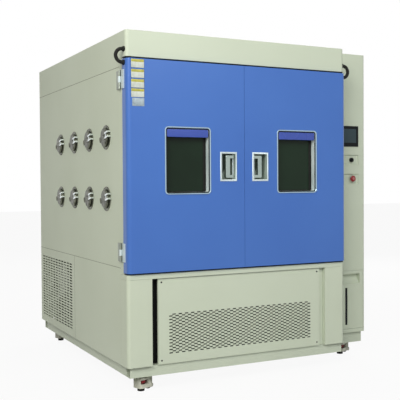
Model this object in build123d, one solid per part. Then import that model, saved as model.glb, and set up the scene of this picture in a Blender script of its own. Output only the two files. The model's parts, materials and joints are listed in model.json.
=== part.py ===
from build123d import *
from math import cos, radians, sin
import os

# A walk-up environmental test chamber with two doors, eight cable ports and a control column.
# Millimetres. X runs to the right, Y to the back and Z up. The origin is on the floor, in the
# middle of the footprint.

# Overall sizes
body_width = 1575
body_depth = 1900
shell_height = 1992
column_width = 353
column_setback = 214
column_raise = 12
caster_height = 98
plinth_height = 64
plinth_inset = 22
side_reach = 63
fold = 15
door_proud = 18
sheet = 2
heavy_sheet = 3
corner_radius = 22

# Faces of the shell
left = -(body_width + column_width - side_reach) / 2
right = left + body_width
column_right = right + column_width
front = -(body_depth - door_proud) / 2
back = front + body_depth
column_front = front + column_setback
pan = caster_height + plinth_height
top = pan + shell_height
middle = (left + right) / 2

# Heights of the main bands above the underside of the shell
rail_low = pan + 521
rail_high = pan + 551
door_low = pan + 561
door_high = pan + 1824
header_low = pan + 1836
side_seam = pan + 586
roof_seam = pan + 1785

# The portal that the doors close on, and the test space behind it
portal_face = front + 60
portal_back = front + 103
wall = 130
cavity_low = pan + 700
cavity_high = pan + 1700
cavity_back = front + 1790
foam = 102
post_width = 80
baffle_y = front + 1500
fan_radius = 135
fan_y = front + 1646
shelf_heights = [cavity_low + 200, cavity_low + 550]
shelf_front = front + 270
shelf_back = front + 1400

# Condenser in the machine space
condenser_y = front + 1500
condenser_z = pan + 292
condenser_fan_radius = 205

# Doors
door_face = front - door_proud
door_back = front + 57
door_gap = 2
door_radius = 28
plug_depth = 28
plug_gap = 8
window_offset = 394
window_width = 310
window_height = 410
window_z = pan + 1228
trim_width = 13
glass_recess = 42
handle_offset = 115
handle_width = 118
handle_height = 182
handle_z = pan + 1193
cup_depth = 38
handle_lip = 11
grip_y = door_face + 14
grip_depth = 17
grip_height = 142
grip_opening = 104
grip_bar = 30
grip_reach = 55
grip_pin_inset = 20
grip_pin = 4

# Door hinges and the hoses that carry the heater wires over to the doors
hinge_out = 11
hinge_y = front + 72
hinge_heights = [pan + 682, pan + 1706]
hinge_height = 110
hinge_pin = 5
running_gap = 0.05
hose_y = front + 24
hose_high = pan + 1880
hose_low = pan + 1801
hose_radius = 11
hose_lead = 12

# Cable ports, counted from the front
port_radius = 50
neck_radius = 55
port_first_y = front + 340
port_pitch = 325
port_heights = [pan + 997, pan + 1380]
port_count = 4
port_flange = 76
port_stand = 8
port_tilt = 12
cap_radius = 60
cap_thickness = 10
cap_hinge_radius = 68
cap_hinge_out = 14
clip_spread = 15
clip_end = 88
clearance = 0.4

# Lower front and the perforated panel
pillar_width = 159
panel_plane = front + 10
panel_left = left + 201
panel_right = left + 1378
screw_inset = 22
slot_field = [left + 264, left + 1313, pan + 60, pan + 304]
side_slot_field = [front + 1072, front + 1850, pan + 50, pan + 528]
slot_rows = 12
slot_columns = 14
side_slot_rows = 24
side_slot_columns = 3

# Control column
controls_x = left + 1760
screen_x = left + 1764
screen_width = 200
screen_height = 146
screen_z = pan + 1419
recess_width = 226
recess_depth = 9
recess_heights = [(pan + 1214, pan + 1292), (pan + 1074, pan + 1156)]
knob_x = left + 1808
knob_z = pan + 1251
stop_x = left + 1814
stop_z = pan + 1117
drawer_width = 290
drawer_low = pan + 40
drawer_high = pan + 456
trough_low = pan + 361
trough_high = pan + 444

# Casters
caster_inset = 120
caster_front = 94
caster_right = 137
caster_plate = 90
plate_thickness = 6
wheel_radius = 28
wheel_lift = 3
wheel_offset = 52
caster_heading = 20


def block(x0, x1, y0, y1, z0, z1):
    """A rectangular block between two opposite corners."""
    middle_point = ((x0 + x1) / 2, (y0 + y1) / 2, (z0 + z1) / 2)
    return Pos(*middle_point) * Box(x1 - x0, y1 - y0, z1 - z0)


def rod_x(x0, x1, y, z, radius):
    """A round bar along X."""
    return Pos((x0 + x1) / 2, y, z) * Rot(0, 90, 0) * Cylinder(radius, x1 - x0)


def rod_y(x, y0, y1, z, radius):
    """A round bar along Y."""
    return Pos(x, (y0 + y1) / 2, z) * Rot(90, 0, 0) * Cylinder(radius, y1 - y0)


def rod_z(x, y, z0, z1, radius):
    """A round bar along Z."""
    return Pos(x, y, (z0 + z1) / 2) * Cylinder(radius, z1 - z0)


def tube_beam(x0, x1, y0, y1, z0, z1, along):
    """A rectangular steel tube, open at both ends."""
    skin = heavy_sheet
    inner = [x0 + skin, x1 - skin, y0 + skin, y1 - skin, z0 + skin, z1 - skin]
    index = {"x": 0, "y": 2}[along]
    inner[index] -= 2 * skin
    inner[index + 1] += 2 * skin
    return block(x0, x1, y0, y1, z0, z1) - block(*inner)


def group(*shapes):
    """Separate solids that share one node."""
    return Compound(children=[solid for shape in shapes for solid in shape.solids()])


def mirrored(shape):
    """The same piece on the right-hand door, mirrored about the middle of the body."""
    plane = Plane(origin=(middle, 0, 0), x_dir=(0, 1, 0), z_dir=(1, 0, 0))
    return group(*[mirror(solid, about=plane) for solid in shape.solids()])


def port_centres():
    """Y and Z of each cable port, the upper row first and from front to back."""
    rows = sorted(port_heights, reverse=True)
    return [(port_first_y + i * port_pitch, z) for z in rows for i in range(port_count)]


def caster_centres():
    """The four places where the casters are bolted under the base frame."""
    return {
        "front_left": (left + caster_inset, front + caster_front),
        "front_right": (column_right - caster_right, column_front + caster_inset),
        "rear_left": (left + caster_inset, back - caster_inset),
        "rear_right": (column_right - caster_right, back - caster_inset),
    }


def make_base_frame():
    """Welded tubes under a floor sheet, with a step back under the control column."""
    x0, x1, x2 = left + plinth_inset, right - 10, column_right - plinth_inset
    y0, y1, y2 = front + plinth_inset, column_front + plinth_inset, back - plinth_inset
    low, high, side = caster_height, pan - sheet, 60
    beams = [
        tube_beam(x0, x1, y0, y0 + side, low, high, "x"),
        tube_beam(x0, x2, y2 - side, y2, low, high, "x"),
        tube_beam(x0, x0 + side, y0 + side, y2 - side, low, high, "y"),
        tube_beam(x1 - side, x1, y0 + side, y2 - side, low, high, "y"),
        tube_beam(x1, x2, y1, y1 + side, low, high, "x"),
        tube_beam(x2 - side, x2, y1 + side, y2 - side, low, high, "y"),
    ]
    for share in (0.33, 0.67):
        y = y0 + share * (y2 - y0)
        beams.append(tube_beam(x0 + side, x1 - side, y, y + side, low, high, "x"))
    plate = block(x0, right, y0, y2, high, pan)
    plate += block(right, x2, y1, y2, high, pan + column_raise)
    half = caster_plate / 2
    pads = [
        block(x - half, x + half, y - half, y + half, low - plate_thickness, low)
        for x, y in caster_centres().values()
    ]
    return group(*beams, plate, *pads)


def port_holes(x0, x1):
    """Round cutters along X, one for each port sleeve."""
    return [rod_x(x0, x1, y, z, neck_radius + 0.3) for y, z in port_centres()]


def make_left_side_panel():
    """Upper skin of the left side, with folded vertical edges and eight holes for the ports."""
    low, high = side_seam + 1, roof_seam - 1
    skin = block(left, left + sheet, portal_back + 1, back, low, high)
    skin += block(left, left + fold, portal_back + 1, portal_back + 1 + sheet, low, high)
    skin += block(left, left + fold, back - sheet, back, low, high)
    for hole in port_holes(left - 5, left + 5):
        skin -= hole
    return skin


def lower_cover(y0, y1):
    """A lower side cover between two seams, folded inwards along its vertical edges."""
    cover = block(left, left + sheet, y0, y1, pan + 1, side_seam - 1)
    cover += block(left, left + fold, y0, y0 + sheet, pan + 1, side_seam - 1)
    cover += block(left, left + fold, y1 - sheet, y1, pan + 1, side_seam - 1)
    return cover


def make_left_lower_panel():
    """Front cover and grilled rear cover of the machine space. Air for the condenser comes in
    through rows of long slots."""
    seam = front + 1015
    plain = lower_cover(portal_back + 1, seam - 1)
    grille = lower_cover(seam + 1, back)
    y0, y1, z0, z1 = side_slot_field
    pitch_y = (y1 - y0) / side_slot_columns
    pitch_z = (z1 - z0) / side_slot_rows
    slots = []
    for i in range(side_slot_columns):
        for j in range(side_slot_rows):
            y, z = y0 + i * pitch_y, z0 + j * pitch_z
            slots.append(block(left - 1, left + 3, y, y + pitch_y - 12, z, z + 9))
    return group(plain, grille - slots)


def make_right_side_panel():
    """Skin between the body and the control column, seen only as a strip at the front."""
    low, high = pan + 1, roof_seam - 1
    skin = block(right - sheet, right, portal_back + 1, back, low, high)
    return skin + block(right - fold, right, portal_back + 1, portal_back + 1 + sheet, low, high)


def make_rear_panel():
    """Rear skin with two vents for the machine space and a gland for the mains lead."""
    skin = block(left + fold, right - sheet, back - sheet, back, pan + 1, roof_seam - 1)
    cutters = []
    for x in (left + 330, left + 1000):
        for j in range(8):
            z = pan + 120 + j * 40
            cutters.append(block(x, x + 260, back - 5, back + 5, z, z + 14))
    skin -= cutters
    gland = rod_y(right - 120, back, back + 22, pan + 160, 21)
    gland -= rod_y(right - 120, back + 4, back + 30, pan + 160, 9)
    return group(skin, gland)


def make_roof_cap():
    """Roof and header in one sheet: a deep front header above the doors and shallower skirts
    down both sides, closed under the header by a soffit."""
    cap = block(left, right, front, back, header_low, top)
    front_edges = cap.edges().filter_by(Axis.Z).group_by(Axis.Y)[0]
    cap = fillet(front_edges, corner_radius)
    cap = fillet(cap.faces().sort_by(Axis.Z)[-1].edges(), 5)
    cap += block(left, right, portal_back + 0.5, back, roof_seam, header_low)
    hollow = block(
        left + sheet, right - sheet, front + sheet, back - sheet, header_low + sheet, top - sheet
    )
    hollow_edges = hollow.edges().filter_by(Axis.Z).group_by(Axis.Y)[0]
    cap -= fillet(hollow_edges, corner_radius - sheet)
    cap -= block(
        left + sheet, right - sheet, portal_back + 3, back - sheet, roof_seam - 1, header_low + 5
    )
    return cap


def rounded_front(x0, x1, y0, y1, z0, z1, radius):
    """A block whose two upright front edges are rounded."""
    shape = block(x0, x1, y0, y1, z0, z1)
    return fillet(shape.edges().filter_by(Axis.Z).group_by(Axis.Y)[0], radius)


def make_front_frame():
    """Lower front: two folded pillars with rounded outer edges, and the rail above them."""
    skin, inner_radius = heavy_sheet, corner_radius - heavy_sheet
    outline = rounded_front(left, right, front, portal_back, pan + 1, rail_high, corner_radius)
    rail = outline & block(left, right, front, portal_back, rail_low + 1, rail_high)
    rail = fillet(rail.faces().sort_by(Axis.Z)[-1].edges().group_by(Axis.Y)[0], 3)
    rail -= rounded_front(
        left + skin, right - skin, front + skin, portal_back + 1, rail_low, rail_high - skin,
        inner_radius,
    )
    pillars = []
    for x0, x1 in ((left, left + pillar_width), (right - pillar_width, right)):
        pillar = outline & block(x0, x1, front, portal_back, pan + 1, rail_low)
        pillar -= rounded_front(
            x0 + skin, x1 - skin, front + skin, portal_back + 1, pan, rail_low - skin,
            inner_radius,
        )
        pillars.append(pillar)
    return group(rail, *pillars)


def make_front_grille_panel():
    """Removable cover of the machine space: a folded tray with staggered slots and four screws."""
    low, high = pan + 2, rail_low - 2
    tray = block(panel_left, panel_right, panel_plane, panel_plane + fold, low, high)
    tray = fillet(tray.edges().filter_by(Axis.Z).group_by(Axis.Y)[0], 3)
    tray -= block(
        panel_left + sheet, panel_right - sheet, panel_plane + sheet, panel_plane + fold + 1,
        low + sheet, high - sheet,
    )
    x0, x1, z0, z1 = slot_field
    pitch_x = (x1 - x0) / slot_columns
    pitch_z = (z1 - z0) / slot_rows
    slots = []
    for i in range(slot_columns):
        for j in range(slot_rows):
            x = x0 + i * pitch_x
            z = z0 + j * pitch_z + (i % 2) * pitch_z / 2
            slots.append(block(x, x + pitch_x - 8, panel_plane - 1, panel_plane + 4, z, z + 8))
    tray -= slots
    screws = []
    for x in (panel_left + screw_inset, panel_right - screw_inset):
        for z in (low + screw_inset, high - screw_inset):
            screws.append(rod_y(x, panel_plane - 3, panel_plane, z, 5))
    return group(tray, *screws)


def make_door_frame():
    """Portal that both doors close on: a folded steel ring with a centre post."""
    z0, z1 = rail_high + 1, header_low - 1
    ring = block(left, right, portal_face, portal_back, z0, z1)
    lows, highs = cavity_low, cavity_high
    for x0, x1 in (
        (left + wall, middle - post_width / 2),
        (middle + post_width / 2, right - wall),
    ):
        ring -= block(x0, x1, front, back, lows, highs)
    hollow = block(left + 3, right - 3, portal_face + 3, portal_back + 1, z0 + 3, z1 - 3)
    hollow -= block(left + wall - 3, right - wall + 3, front, back, lows - 3, highs + 3)
    ring -= hollow
    post_hollow = post_width / 2 - 3
    ring -= block(
        middle - post_hollow, middle + post_hollow, portal_face + 3, portal_back + 1,
        lows + 3, highs - 3,
    )
    return ring


def make_inner_liner():
    """Stainless test space, open at the front, with port holes in the left wall and a shaft
    hole in the ceiling."""
    x0, x1 = left + wall, right - wall
    outer = block(
        x0 - sheet, x1 + sheet, portal_back, cavity_back + sheet,
        cavity_low - sheet, cavity_high + sheet,
    )
    liner = outer - block(x0, x1, portal_back - 1, cavity_back, cavity_low, cavity_high)
    liner -= port_holes(x0 - 20, x0 + 20)
    return liner - rod_z(middle, fan_y, cavity_high - 20, cavity_high + 20, 14)


def make_insulation():
    """Foam round the test space. The left wall is cut into a block for each port sleeve."""
    x0, x1 = left + sheet, right - sheet
    inner0, inner1 = left + wall - sheet, right - wall + sheet
    z0, z1 = cavity_low - foam, cavity_high + foam
    y0, y1, y2 = portal_back + 3.5, cavity_back + sheet, back - sheet
    slabs = [
        block(inner0, inner1, y0, y1, z0, cavity_low - sheet),
        block(inner0, inner1, y0, y1, cavity_high + sheet, z1),
        block(inner1, x1, y0, y1, z0, z1),
        block(x0, x1, y1, y2, z0, z1),
    ]
    slabs[1] -= rod_z(middle, fan_y, cavity_high, z1 + 1, 14)
    half = port_pitch / 2
    edges = [y0] + [port_first_y + half + i * port_pitch for i in range(port_count)]
    split = (port_heights[0] + port_heights[1]) / 2
    slabs.append(block(x0, inner0, edges[-1], y1, z0, z1))
    for centre_y, centre_z in port_centres():
        i = round((centre_y - port_first_y) / port_pitch)
        low, high = (z0, split) if centre_z < split else (split, z1)
        piece = block(x0, inner0, edges[i], edges[i + 1], low, high)
        slabs.append(piece - rod_x(x0 - 1, inner0 + 1, centre_y, centre_z, neck_radius + 0.3))
    return group(*slabs)


def make_air_baffle():
    """Perforated wall in front of the air plenum: supply slots high up, return slots low down."""
    gap = 1
    plate = block(
        left + wall + gap, right - wall - gap, baffle_y, baffle_y + sheet,
        cavity_low + gap, cavity_high - gap,
    )
    cutters = []
    for j in range(4):
        for z in (cavity_low + 50 + j * 32, cavity_high - 70 - j * 32):
            for x in (left + 250, left + 820):
                cutters.append(block(x, x + 500, baffle_y - 1, baffle_y + 4, z, z + 16))
    return plate - cutters


def make_coil_bank():
    """Evaporator in the plenum: end plates, a fin pack and two header pipes."""
    x0, x1 = left + 260, right - 260
    y0, y1, z0, z1 = front + 1570, front + 1700, cavity_low + 60, cavity_low + 420
    fins = [block(x0 + i * 40, x0 + i * 40 + 6, y0, y1, z0, z1) for i in range(27)]
    coil = block(x0, x1, y0 + 30, y0 + 50, z0 + 20, z1 - 20)
    coil += block(x0, x1, y1 - 50, y1 - 30, z0 + 20, z1 - 20)
    coil += fins
    feet = [block(x, x + 30, y0 + 20, y1 - 20, cavity_low, z0) for x in (x0 + 40, x0 + 840)]
    return coil + feet


def fan_blades(count, hub, tip, width, pitch, thick=3):
    """Flat blades round the Z axis between a hub and a tip radius, each turned by a pitch."""
    blades = []
    for i in range(count):
        blade = Box(tip - hub + 6, width, thick)
        blade = Pos((hub + tip) / 2 - 3, 0, 0) * Rot(pitch, 0, 0) * blade
        blades.append(Rot(0, 0, i * 360 / count) * blade)
    return blades


def make_fan_motor():
    """Circulation motor on the insulated ceiling, with its foot plate and cooling fins."""
    y, z = fan_y, cavity_high + foam
    motor = rod_z(middle, y, z + 8, z + 128, 78) + block(
        middle - 110, middle + 110, y - 110, y + 110, z, z + 8
    )
    motor += rod_z(middle, y, z + 128, z + 140, 60)
    return motor - rod_z(middle, y, z - 1, z + 50, 10 + running_gap)


def make_fan_wheel():
    """Centrifugal circulation wheel in the top of the plenum, on its shaft."""
    y, low = fan_y, cavity_high - 150
    wheel = rod_z(middle, y, low + 84, low + 90, fan_radius)
    ring = rod_z(middle, y, low, low + 4, fan_radius)
    ring -= rod_z(middle, y, low - 1, low + 5, fan_radius - 32)
    wheel += ring
    for i in range(12):
        vane = Rot(0, 0, i * 30) * Pos(fan_radius - 16, 0, 0) * Rot(0, 0, 35) * Box(34, 3, 86)
        wheel += Pos(middle, y, low + 45) * vane
    wheel += rod_z(middle, y, low + 60, low + 90, 26)
    return wheel + rod_z(middle, y, low + 80, cavity_high + foam + 45, 10)


def make_compressor():
    """Hermetic compressor: a domed can on a foot plate with rubber mounts."""
    x, y, radius = left + 760, front + 1250, 105
    can = rod_z(x, y, pan + 50, pan + 330, radius)
    can = fillet(can.edges().filter_by(GeomType.CIRCLE), 40)
    plate = block(x - 120, x + 120, y - 120, y + 120, pan + 26, pan + 34)
    can += rod_z(x, y, pan + 30, pan + 120, 60)
    feet = [rod_z(x + i, y + j, pan, pan + 26, 18) for i in (-95, 95) for j in (-95, 95)]
    return group(can + plate, *feet)


def make_condenser():
    """Condenser behind the side grille: finned coil, sheet hood with a round mouth, and the
    fan motor on its bar."""
    y0, y1, z0, z1 = condenser_y - 300, condenser_y + 300, pan, pan + 560
    x0, x1, x2 = left + 90, left + 190, left + 260
    hood = block(x0, x1, y0, y1, z0, z1)
    hood -= block(x0 + sheet, x1 + 1, y0 + sheet, y1 - sheet, z0 + sheet, z1 - sheet)
    mouth = rod_x(x0 - 40, x0 + 1, condenser_y, condenser_z, condenser_fan_radius + 12)
    bore = rod_x(x0 - 50, x0 + 10, condenser_y, condenser_z, condenser_fan_radius + 9)
    hood = hood + mouth - bore
    coil = block(x1, x2, y0, y1, z0, z1)
    bar = block(x1 - 14, x1, condenser_y - 30, condenser_y + 30, z0 + 2, z1 - 2)
    motor = rod_x(x0 + 24, x1 - 13, condenser_y, condenser_z, 44)
    motor += bar
    motor -= rod_x(x0 - 1, x0 + 60, condenser_y, condenser_z, 8 + running_gap)
    return group(hood, coil, motor)


def make_condenser_fan():
    """Axial fan in the mouth of the condenser hood."""
    fan = Cylinder(48, 30) + fan_blades(5, 44, condenser_fan_radius, 120, 24)
    fan += Pos(0, 0, 30) * Cylinder(8, 60)
    return Pos(left + 76, condenser_y, condenser_z) * Rot(0, 90, 0) * fan


def port_frame(y, z):
    """A local frame at a port: Z out of the wall, and X towards the cap's clip, which is at the
    front and a little above the middle."""
    return Plane(
        origin=(left, y, z),
        x_dir=(0, -cos(radians(port_tilt)), sin(radians(port_tilt))),
        z_dir=(-1, 0, 0),
    )


def make_port_neck(y, z):
    """Sleeve through the wall, with an outer flange, an inner flange and two hinge ears."""
    length = wall + sheet
    profile = Polyline(
        (port_radius, -length), (64, -length), (64, -wall), (neck_radius, -wall),
        (neck_radius, 0), (port_flange, 0), (port_flange, 3), (port_flange - 2, 5),
        (neck_radius, 5), (neck_radius, port_stand), (port_radius, port_stand), close=True,
    )
    neck = revolve(Plane.XZ * make_face(profile), Axis.Z)
    pin_z = cap_hinge_out
    for side in (-1, 1):
        neck += Pos(-cap_hinge_radius, side * 14, (pin_z + 4) / 2) * Box(12, 5, pin_z + 4)
    neck += Pos(-cap_hinge_radius, 0, pin_z) * Rot(90, 0, 0) * Cylinder(3, 33)
    keeper = Pos(70, 0, 8) * Box(7, 14, 8)
    return port_frame(y, z).location * (neck + keeper)


def make_port_cap(y, z):
    """Hinged cap: a disc with a bevelled rim, a hinge arm and a spring clip of two bars."""
    seat = port_stand + clearance
    face = seat + cap_thickness
    profile = Polyline(
        (0, seat), (cap_radius, seat), (cap_radius, face - 5), (cap_radius - 5, face),
        (0, face), close=True,
    )
    cap = revolve(Plane.XZ * make_face(profile), Axis.Z)
    cap += Pos(-(cap_hinge_radius + 45) / 2, 0, cap_hinge_out) * Box(cap_hinge_radius - 45, 20, 7)
    cap += Pos(-cap_hinge_radius, 0, cap_hinge_out) * Rot(90, 0, 0) * Cylinder(7, 20)
    cap -= Pos(-cap_hinge_radius, 0, cap_hinge_out) * Rot(90, 0, 0) * Cylinder(3 + running_gap, 30)
    for side in (-clip_spread, clip_spread):
        cap += Pos(clip_end / 2, side, face + 2.5) * Box(clip_end, 10, 7)
        cap += Pos(clip_end - 3, side, (face + 6) / 2) * Box(6, 10, face - 2)
    return port_frame(y, z).location * cap


def hinge_knuckles(z, low, high, bore):
    """One barrel section of a door hinge, with its bore."""
    barrel = rod_z(left - hinge_out, hinge_y, z + low, z + high, 9)
    return barrel - rod_z(left - hinge_out, hinge_y, z + low - 1, z + high + 1, bore)


def make_hinge_brackets():
    """Fixed hinge halves: a leaf on the side, two outer barrel sections and the pin."""
    halves = []
    for z in hinge_heights:
        half = hinge_height / 2
        leaf = block(left - 6, left, hinge_y + 12, hinge_y + 62, z - half, z + half)
        for low, high in ((-half, -half / 3), (half / 3, half)):
            leaf += block(left - 6, left - 0.3, hinge_y + 4, hinge_y + 12.5, z + low, z + high)
            leaf += hinge_knuckles(z, low, high, hinge_pin - 0.5)
        leaf += rod_z(left - hinge_out, hinge_y, z - half, z + half, hinge_pin)
        halves.append(leaf)
    left_side = group(*halves)
    return group(left_side, mirrored(left_side))


def door_outline(y0, y1):
    """The left door's block between two depths, rounded at its outer front edge."""
    return block(left, middle - door_gap / 2, y0, y1, door_low, door_high)


def make_door_skin():
    """Folded outer skin of the left door, rounded at the hinge side, with its window opening,
    its handle opening and its back edge folded in."""
    skin = door_outline(door_face, door_back)
    edges = skin.edges().filter_by(Axis.Z).group_by(Axis.Y)[0].sort_by(Axis.X)
    skin = fillet(edges[0], door_radius)
    inner = block(
        left + sheet, middle - door_gap / 2 - sheet, door_face + sheet, door_back + 1,
        door_low + sheet, door_high - sheet,
    )
    inner_edges = inner.edges().filter_by(Axis.Z).group_by(Axis.Y)[0].sort_by(Axis.X)
    inner = fillet(inner_edges[0], door_radius - sheet)
    skin -= inner
    x, z = middle - window_offset, window_z
    w, h = window_width / 2 - trim_width + 1, window_height / 2 - trim_width + 1
    skin -= block(x - w, x + w, door_face - 1, door_face + 5, z - h, z + h)
    x, w, h = middle - handle_offset, handle_width / 2 - 6, handle_height / 2 - 6
    skin -= block(x - w, x + w, door_face - 1, door_face + 5, handle_z - h, handle_z + h)
    return skin


def make_door_liner():
    """Insulated core of the left door with its stainless inner face and the step that enters
    the portal."""
    x0, x1 = left + sheet, middle - door_gap / 2 - sheet
    core = block(x0, x1, door_face + sheet, door_back, door_low + sheet, door_high - sheet)
    edges = core.edges().filter_by(Axis.Z).group_by(Axis.Y)[0].sort_by(Axis.X)
    core = fillet(edges[0], door_radius - sheet)
    plug = block(
        left + wall + plug_gap, middle - post_width / 2 - plug_gap, door_back - 1,
        door_back + plug_depth, cavity_low + plug_gap, cavity_high - plug_gap,
    )
    core += chamfer(plug.faces().sort_by(Axis.Y)[-1].edges(), 8)
    x, z = middle - window_offset, window_z
    w, h = window_width / 2 - trim_width + 1, window_height / 2 - trim_width + 1
    core -= block(x - w, x + w, door_face - 1, back, z - h, z + h)
    x, w, h = middle - handle_offset, handle_width / 2 - 5, handle_height / 2 - 5
    pocket = door_face + cup_depth + 3
    return core - block(x - w, x + w, door_face - 1, pocket, handle_z - h, handle_z + h)


def make_door_gasket():
    """Hollow rubber seal round the plug of the left door."""
    x0, x1 = left + wall - 22, middle - post_width / 2 + 22
    z0, z1, width, gap = cavity_low - 22, cavity_high + 22, 24, 0.5
    y0, y1 = door_back, portal_face - gap
    ring = block(x0, x1, y0, y1, z0, z1)
    return ring - block(x0 + width, x1 - width, y0 - 1, y1 + 1, z0 + width, z1 - width)


def window_block(grow, y0, y1, radius=0):
    """A block centred on the left window, larger than its frame by grow on every side."""
    x, w, h = middle - window_offset, window_width / 2 + grow, window_height / 2 + grow
    frame = block(x - w, x + w, y0, y1, window_z - h, window_z + h)
    if radius:
        frame = fillet(frame.edges().filter_by(Axis.Y), radius)
    return frame


def make_window_trim():
    """Polished window frame: a raised rim on the door and a sleeve through it."""
    rim = window_block(0, door_face - 6, door_face, 24)
    rim = chamfer(rim.faces().sort_by(Axis.Y)[0].edges(), 2.5)
    sleeve = window_block(-trim_width + 0.5, door_face - 6, door_back + plug_depth - 1)
    hole = window_block(-trim_width - 2.5, door_face - 10, back, 12)
    return rim + sleeve - hole


def make_window_glass():
    """Heated double glazing: an outer pane, an inner pane and the spacer between them."""
    outer = door_face + glass_recess
    inner = outer + 36
    size = -trim_width - 3
    panes = [window_block(size, y, y + 6, 12) for y in (outer, inner)]
    spacer = window_block(size, outer + 6, inner, 12) - window_block(size - 14, outer, inner + 6)
    return group(*panes, spacer)


def make_door_fittings():
    """Moving hinge halves on the left door's edge, and the silver cup of its handle."""
    pieces = []
    for z in hinge_heights:
        half, gap = hinge_height / 2, clearance
        leaf = block(left - 6, left, hinge_y - 50, hinge_y - 12, z - half, z + half)
        low, high = -half / 3 + gap, half / 3 - gap
        leaf += block(left - 6, left - 0.3, hinge_y - 12.5, hinge_y - 4, z + low, z + high)
        leaf += hinge_knuckles(z, low, high, hinge_pin + running_gap)
        leaf -= rod_z(left - hinge_out, hinge_y, z - half, z + half, hinge_pin + running_gap)
        pieces.append(leaf)
    x, w, h = middle - handle_offset, handle_width / 2, handle_height / 2
    cup = block(x - w, x + w, door_face - 4, door_face, handle_z - h, handle_z + h)
    cup = chamfer(cup.faces().sort_by(Axis.Y)[0].edges(), 2)
    outer, inner = handle_lip - sheet, handle_lip
    cup += block(
        x - w + outer, x + w - outer, door_face - 4, door_face + cup_depth,
        handle_z - h + outer, handle_z + h - outer,
    )
    cup -= block(
        x - w + inner, x + w - inner, door_face - 10, door_face + cup_depth - sheet,
        handle_z - h + inner, handle_z + h - inner,
    )
    pin_x = x + w - grip_pin_inset
    cup += rod_z(pin_x, grip_y, handle_z - h + outer, handle_z + h - outer, grip_pin)
    return group(*pieces, cup)


def make_handle_grip():
    """Bracket-shaped pull of the left handle: an upright bar and two arms on a vertical pin."""
    pin_x = middle - handle_offset + handle_width / 2 - grip_pin_inset
    half, inner, depth = grip_height / 2, grip_opening / 2, grip_depth / 2
    low, high = handle_z - half, handle_z + half
    grip = block(pin_x - grip_reach, pin_x, grip_y - depth, grip_y + depth, low, high)
    grip = fillet(grip.edges().filter_by(Axis.Y).group_by(Axis.X)[0], 10)
    grip = fillet(grip.faces().sort_by(Axis.Y)[0].edges(), 3)
    grip += rod_z(pin_x, grip_y, low, high, depth)
    grip -= block(
        pin_x - grip_reach + grip_bar, pin_x + 20, grip_y - 20, grip_y + 20,
        handle_z - inner, handle_z + inner,
    )
    return grip - rod_z(pin_x, grip_y, low - 1, high + 1, grip_pin + running_gap)


def make_door_conduit():
    """Flexible hose from the header over to the left door, with a gland at its fixed end."""
    bend = (hose_high - hose_low) / 2
    centre_z = (hose_high + hose_low) / 2
    x = left - hose_lead
    path = Polyline((left, hose_y, hose_high), (x, hose_y, hose_high))
    arc = ThreePointArc(
        (x, hose_y, hose_high), (x - bend, hose_y, centre_z), (x, hose_y, hose_low)
    )
    path = Wire([path.edges()[0], arc.edge(), Line((x, hose_y, hose_low), (left, hose_y, hose_low))])
    start = Plane(origin=(left, hose_y, hose_high), z_dir=(-1, 0, 0))
    hose = sweep(start * Circle(hose_radius), path=path)
    gland = rod_x(left - 8, left, hose_y, hose_high, 16) - rod_x(
        left - 9, left + 1, hose_y, hose_high, hose_radius
    )
    return group(hose, gland)


def make_shelf_uprights():
    """Four slotted uprights on the cavity's side walls, with a bearer for each shelf end."""
    pieces = []
    for side in (-1, 1):
        x = middle + side * (body_width / 2 - wall)
        for y in (front + 235, front + 1440):
            y0, y1 = y - 15, y + 15
            x0, x1 = sorted((x, x - side * 12))
            pieces.append(block(x0, x1, y0, y1, cavity_low + 20, cavity_high - 20))
        for z in shelf_heights:
            x0, x1 = sorted((x - side * 12, x - side * 34))
            pieces.append(block(x0, x1, front + 220, front + 1455, z - 4, z - 1))
    return group(*pieces)


def make_shelf(z):
    """Slatted stainless shelf: a frame of flat bar and eleven slats."""
    x0, x1 = left + wall + 16, right - wall - 16
    z0, z1 = z - 0.6, z + 24
    frame = block(x0, x1, shelf_front, shelf_back, z0, z1)
    frame -= block(x0 + 4, x1 - 4, shelf_front + 4, shelf_back - 4, z0 - 1, z1 + 1)
    pitch = (x1 - x0) / 12
    for i in range(1, 12):
        x = x0 + i * pitch
        frame += block(x - 14, x + 14, shelf_front + 3, shelf_back - 3, z1 - 8, z1 - 4)
    return frame


def make_control_column():
    """Shell of the control column, with openings for the screen, the recesses and the drawer."""
    x0, x1, y0, y1 = right, column_right, column_front, back
    z0, z1 = pan + column_raise, top + column_raise
    shell = block(x0, x1, y0, y1, z0, z1)
    edges = shell.edges().filter_by(Axis.Z).group_by(Axis.Y)[0].sort_by(Axis.X)
    shell = fillet(edges[-1], corner_radius)
    inner = block(x0 + sheet, x1 - sheet, y0 + sheet, y1 - sheet, z0 + sheet, z1 - sheet)
    inner_edges = inner.edges().filter_by(Axis.Z).group_by(Axis.Y)[0].sort_by(Axis.X)
    inner = fillet(inner_edges[-1], corner_radius - sheet)
    shell -= inner
    w, h = screen_width / 2 - 6, screen_height / 2 - 6
    openings = [(screen_x - w, screen_x + w, screen_z - h, screen_z + h)]
    for z_low, z_high in recess_heights:
        openings.append((controls_x - 112, controls_x + 112, z_low + 1, z_high - 1))
    half = drawer_width / 2 + 1.5
    openings.append((controls_x - half, controls_x + half, drawer_low - 1.5, drawer_high + 1.5))
    for a, b, c, d in openings:
        shell -= block(a, b, y0 - 1, y0 + 10, c, d)
    shelf_top = drawer_low + 12 - clearance
    return shell + block(x0 + 1, x1 - 1, y0 + 14, y0 + 420, shelf_top - sheet, shelf_top)


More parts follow.
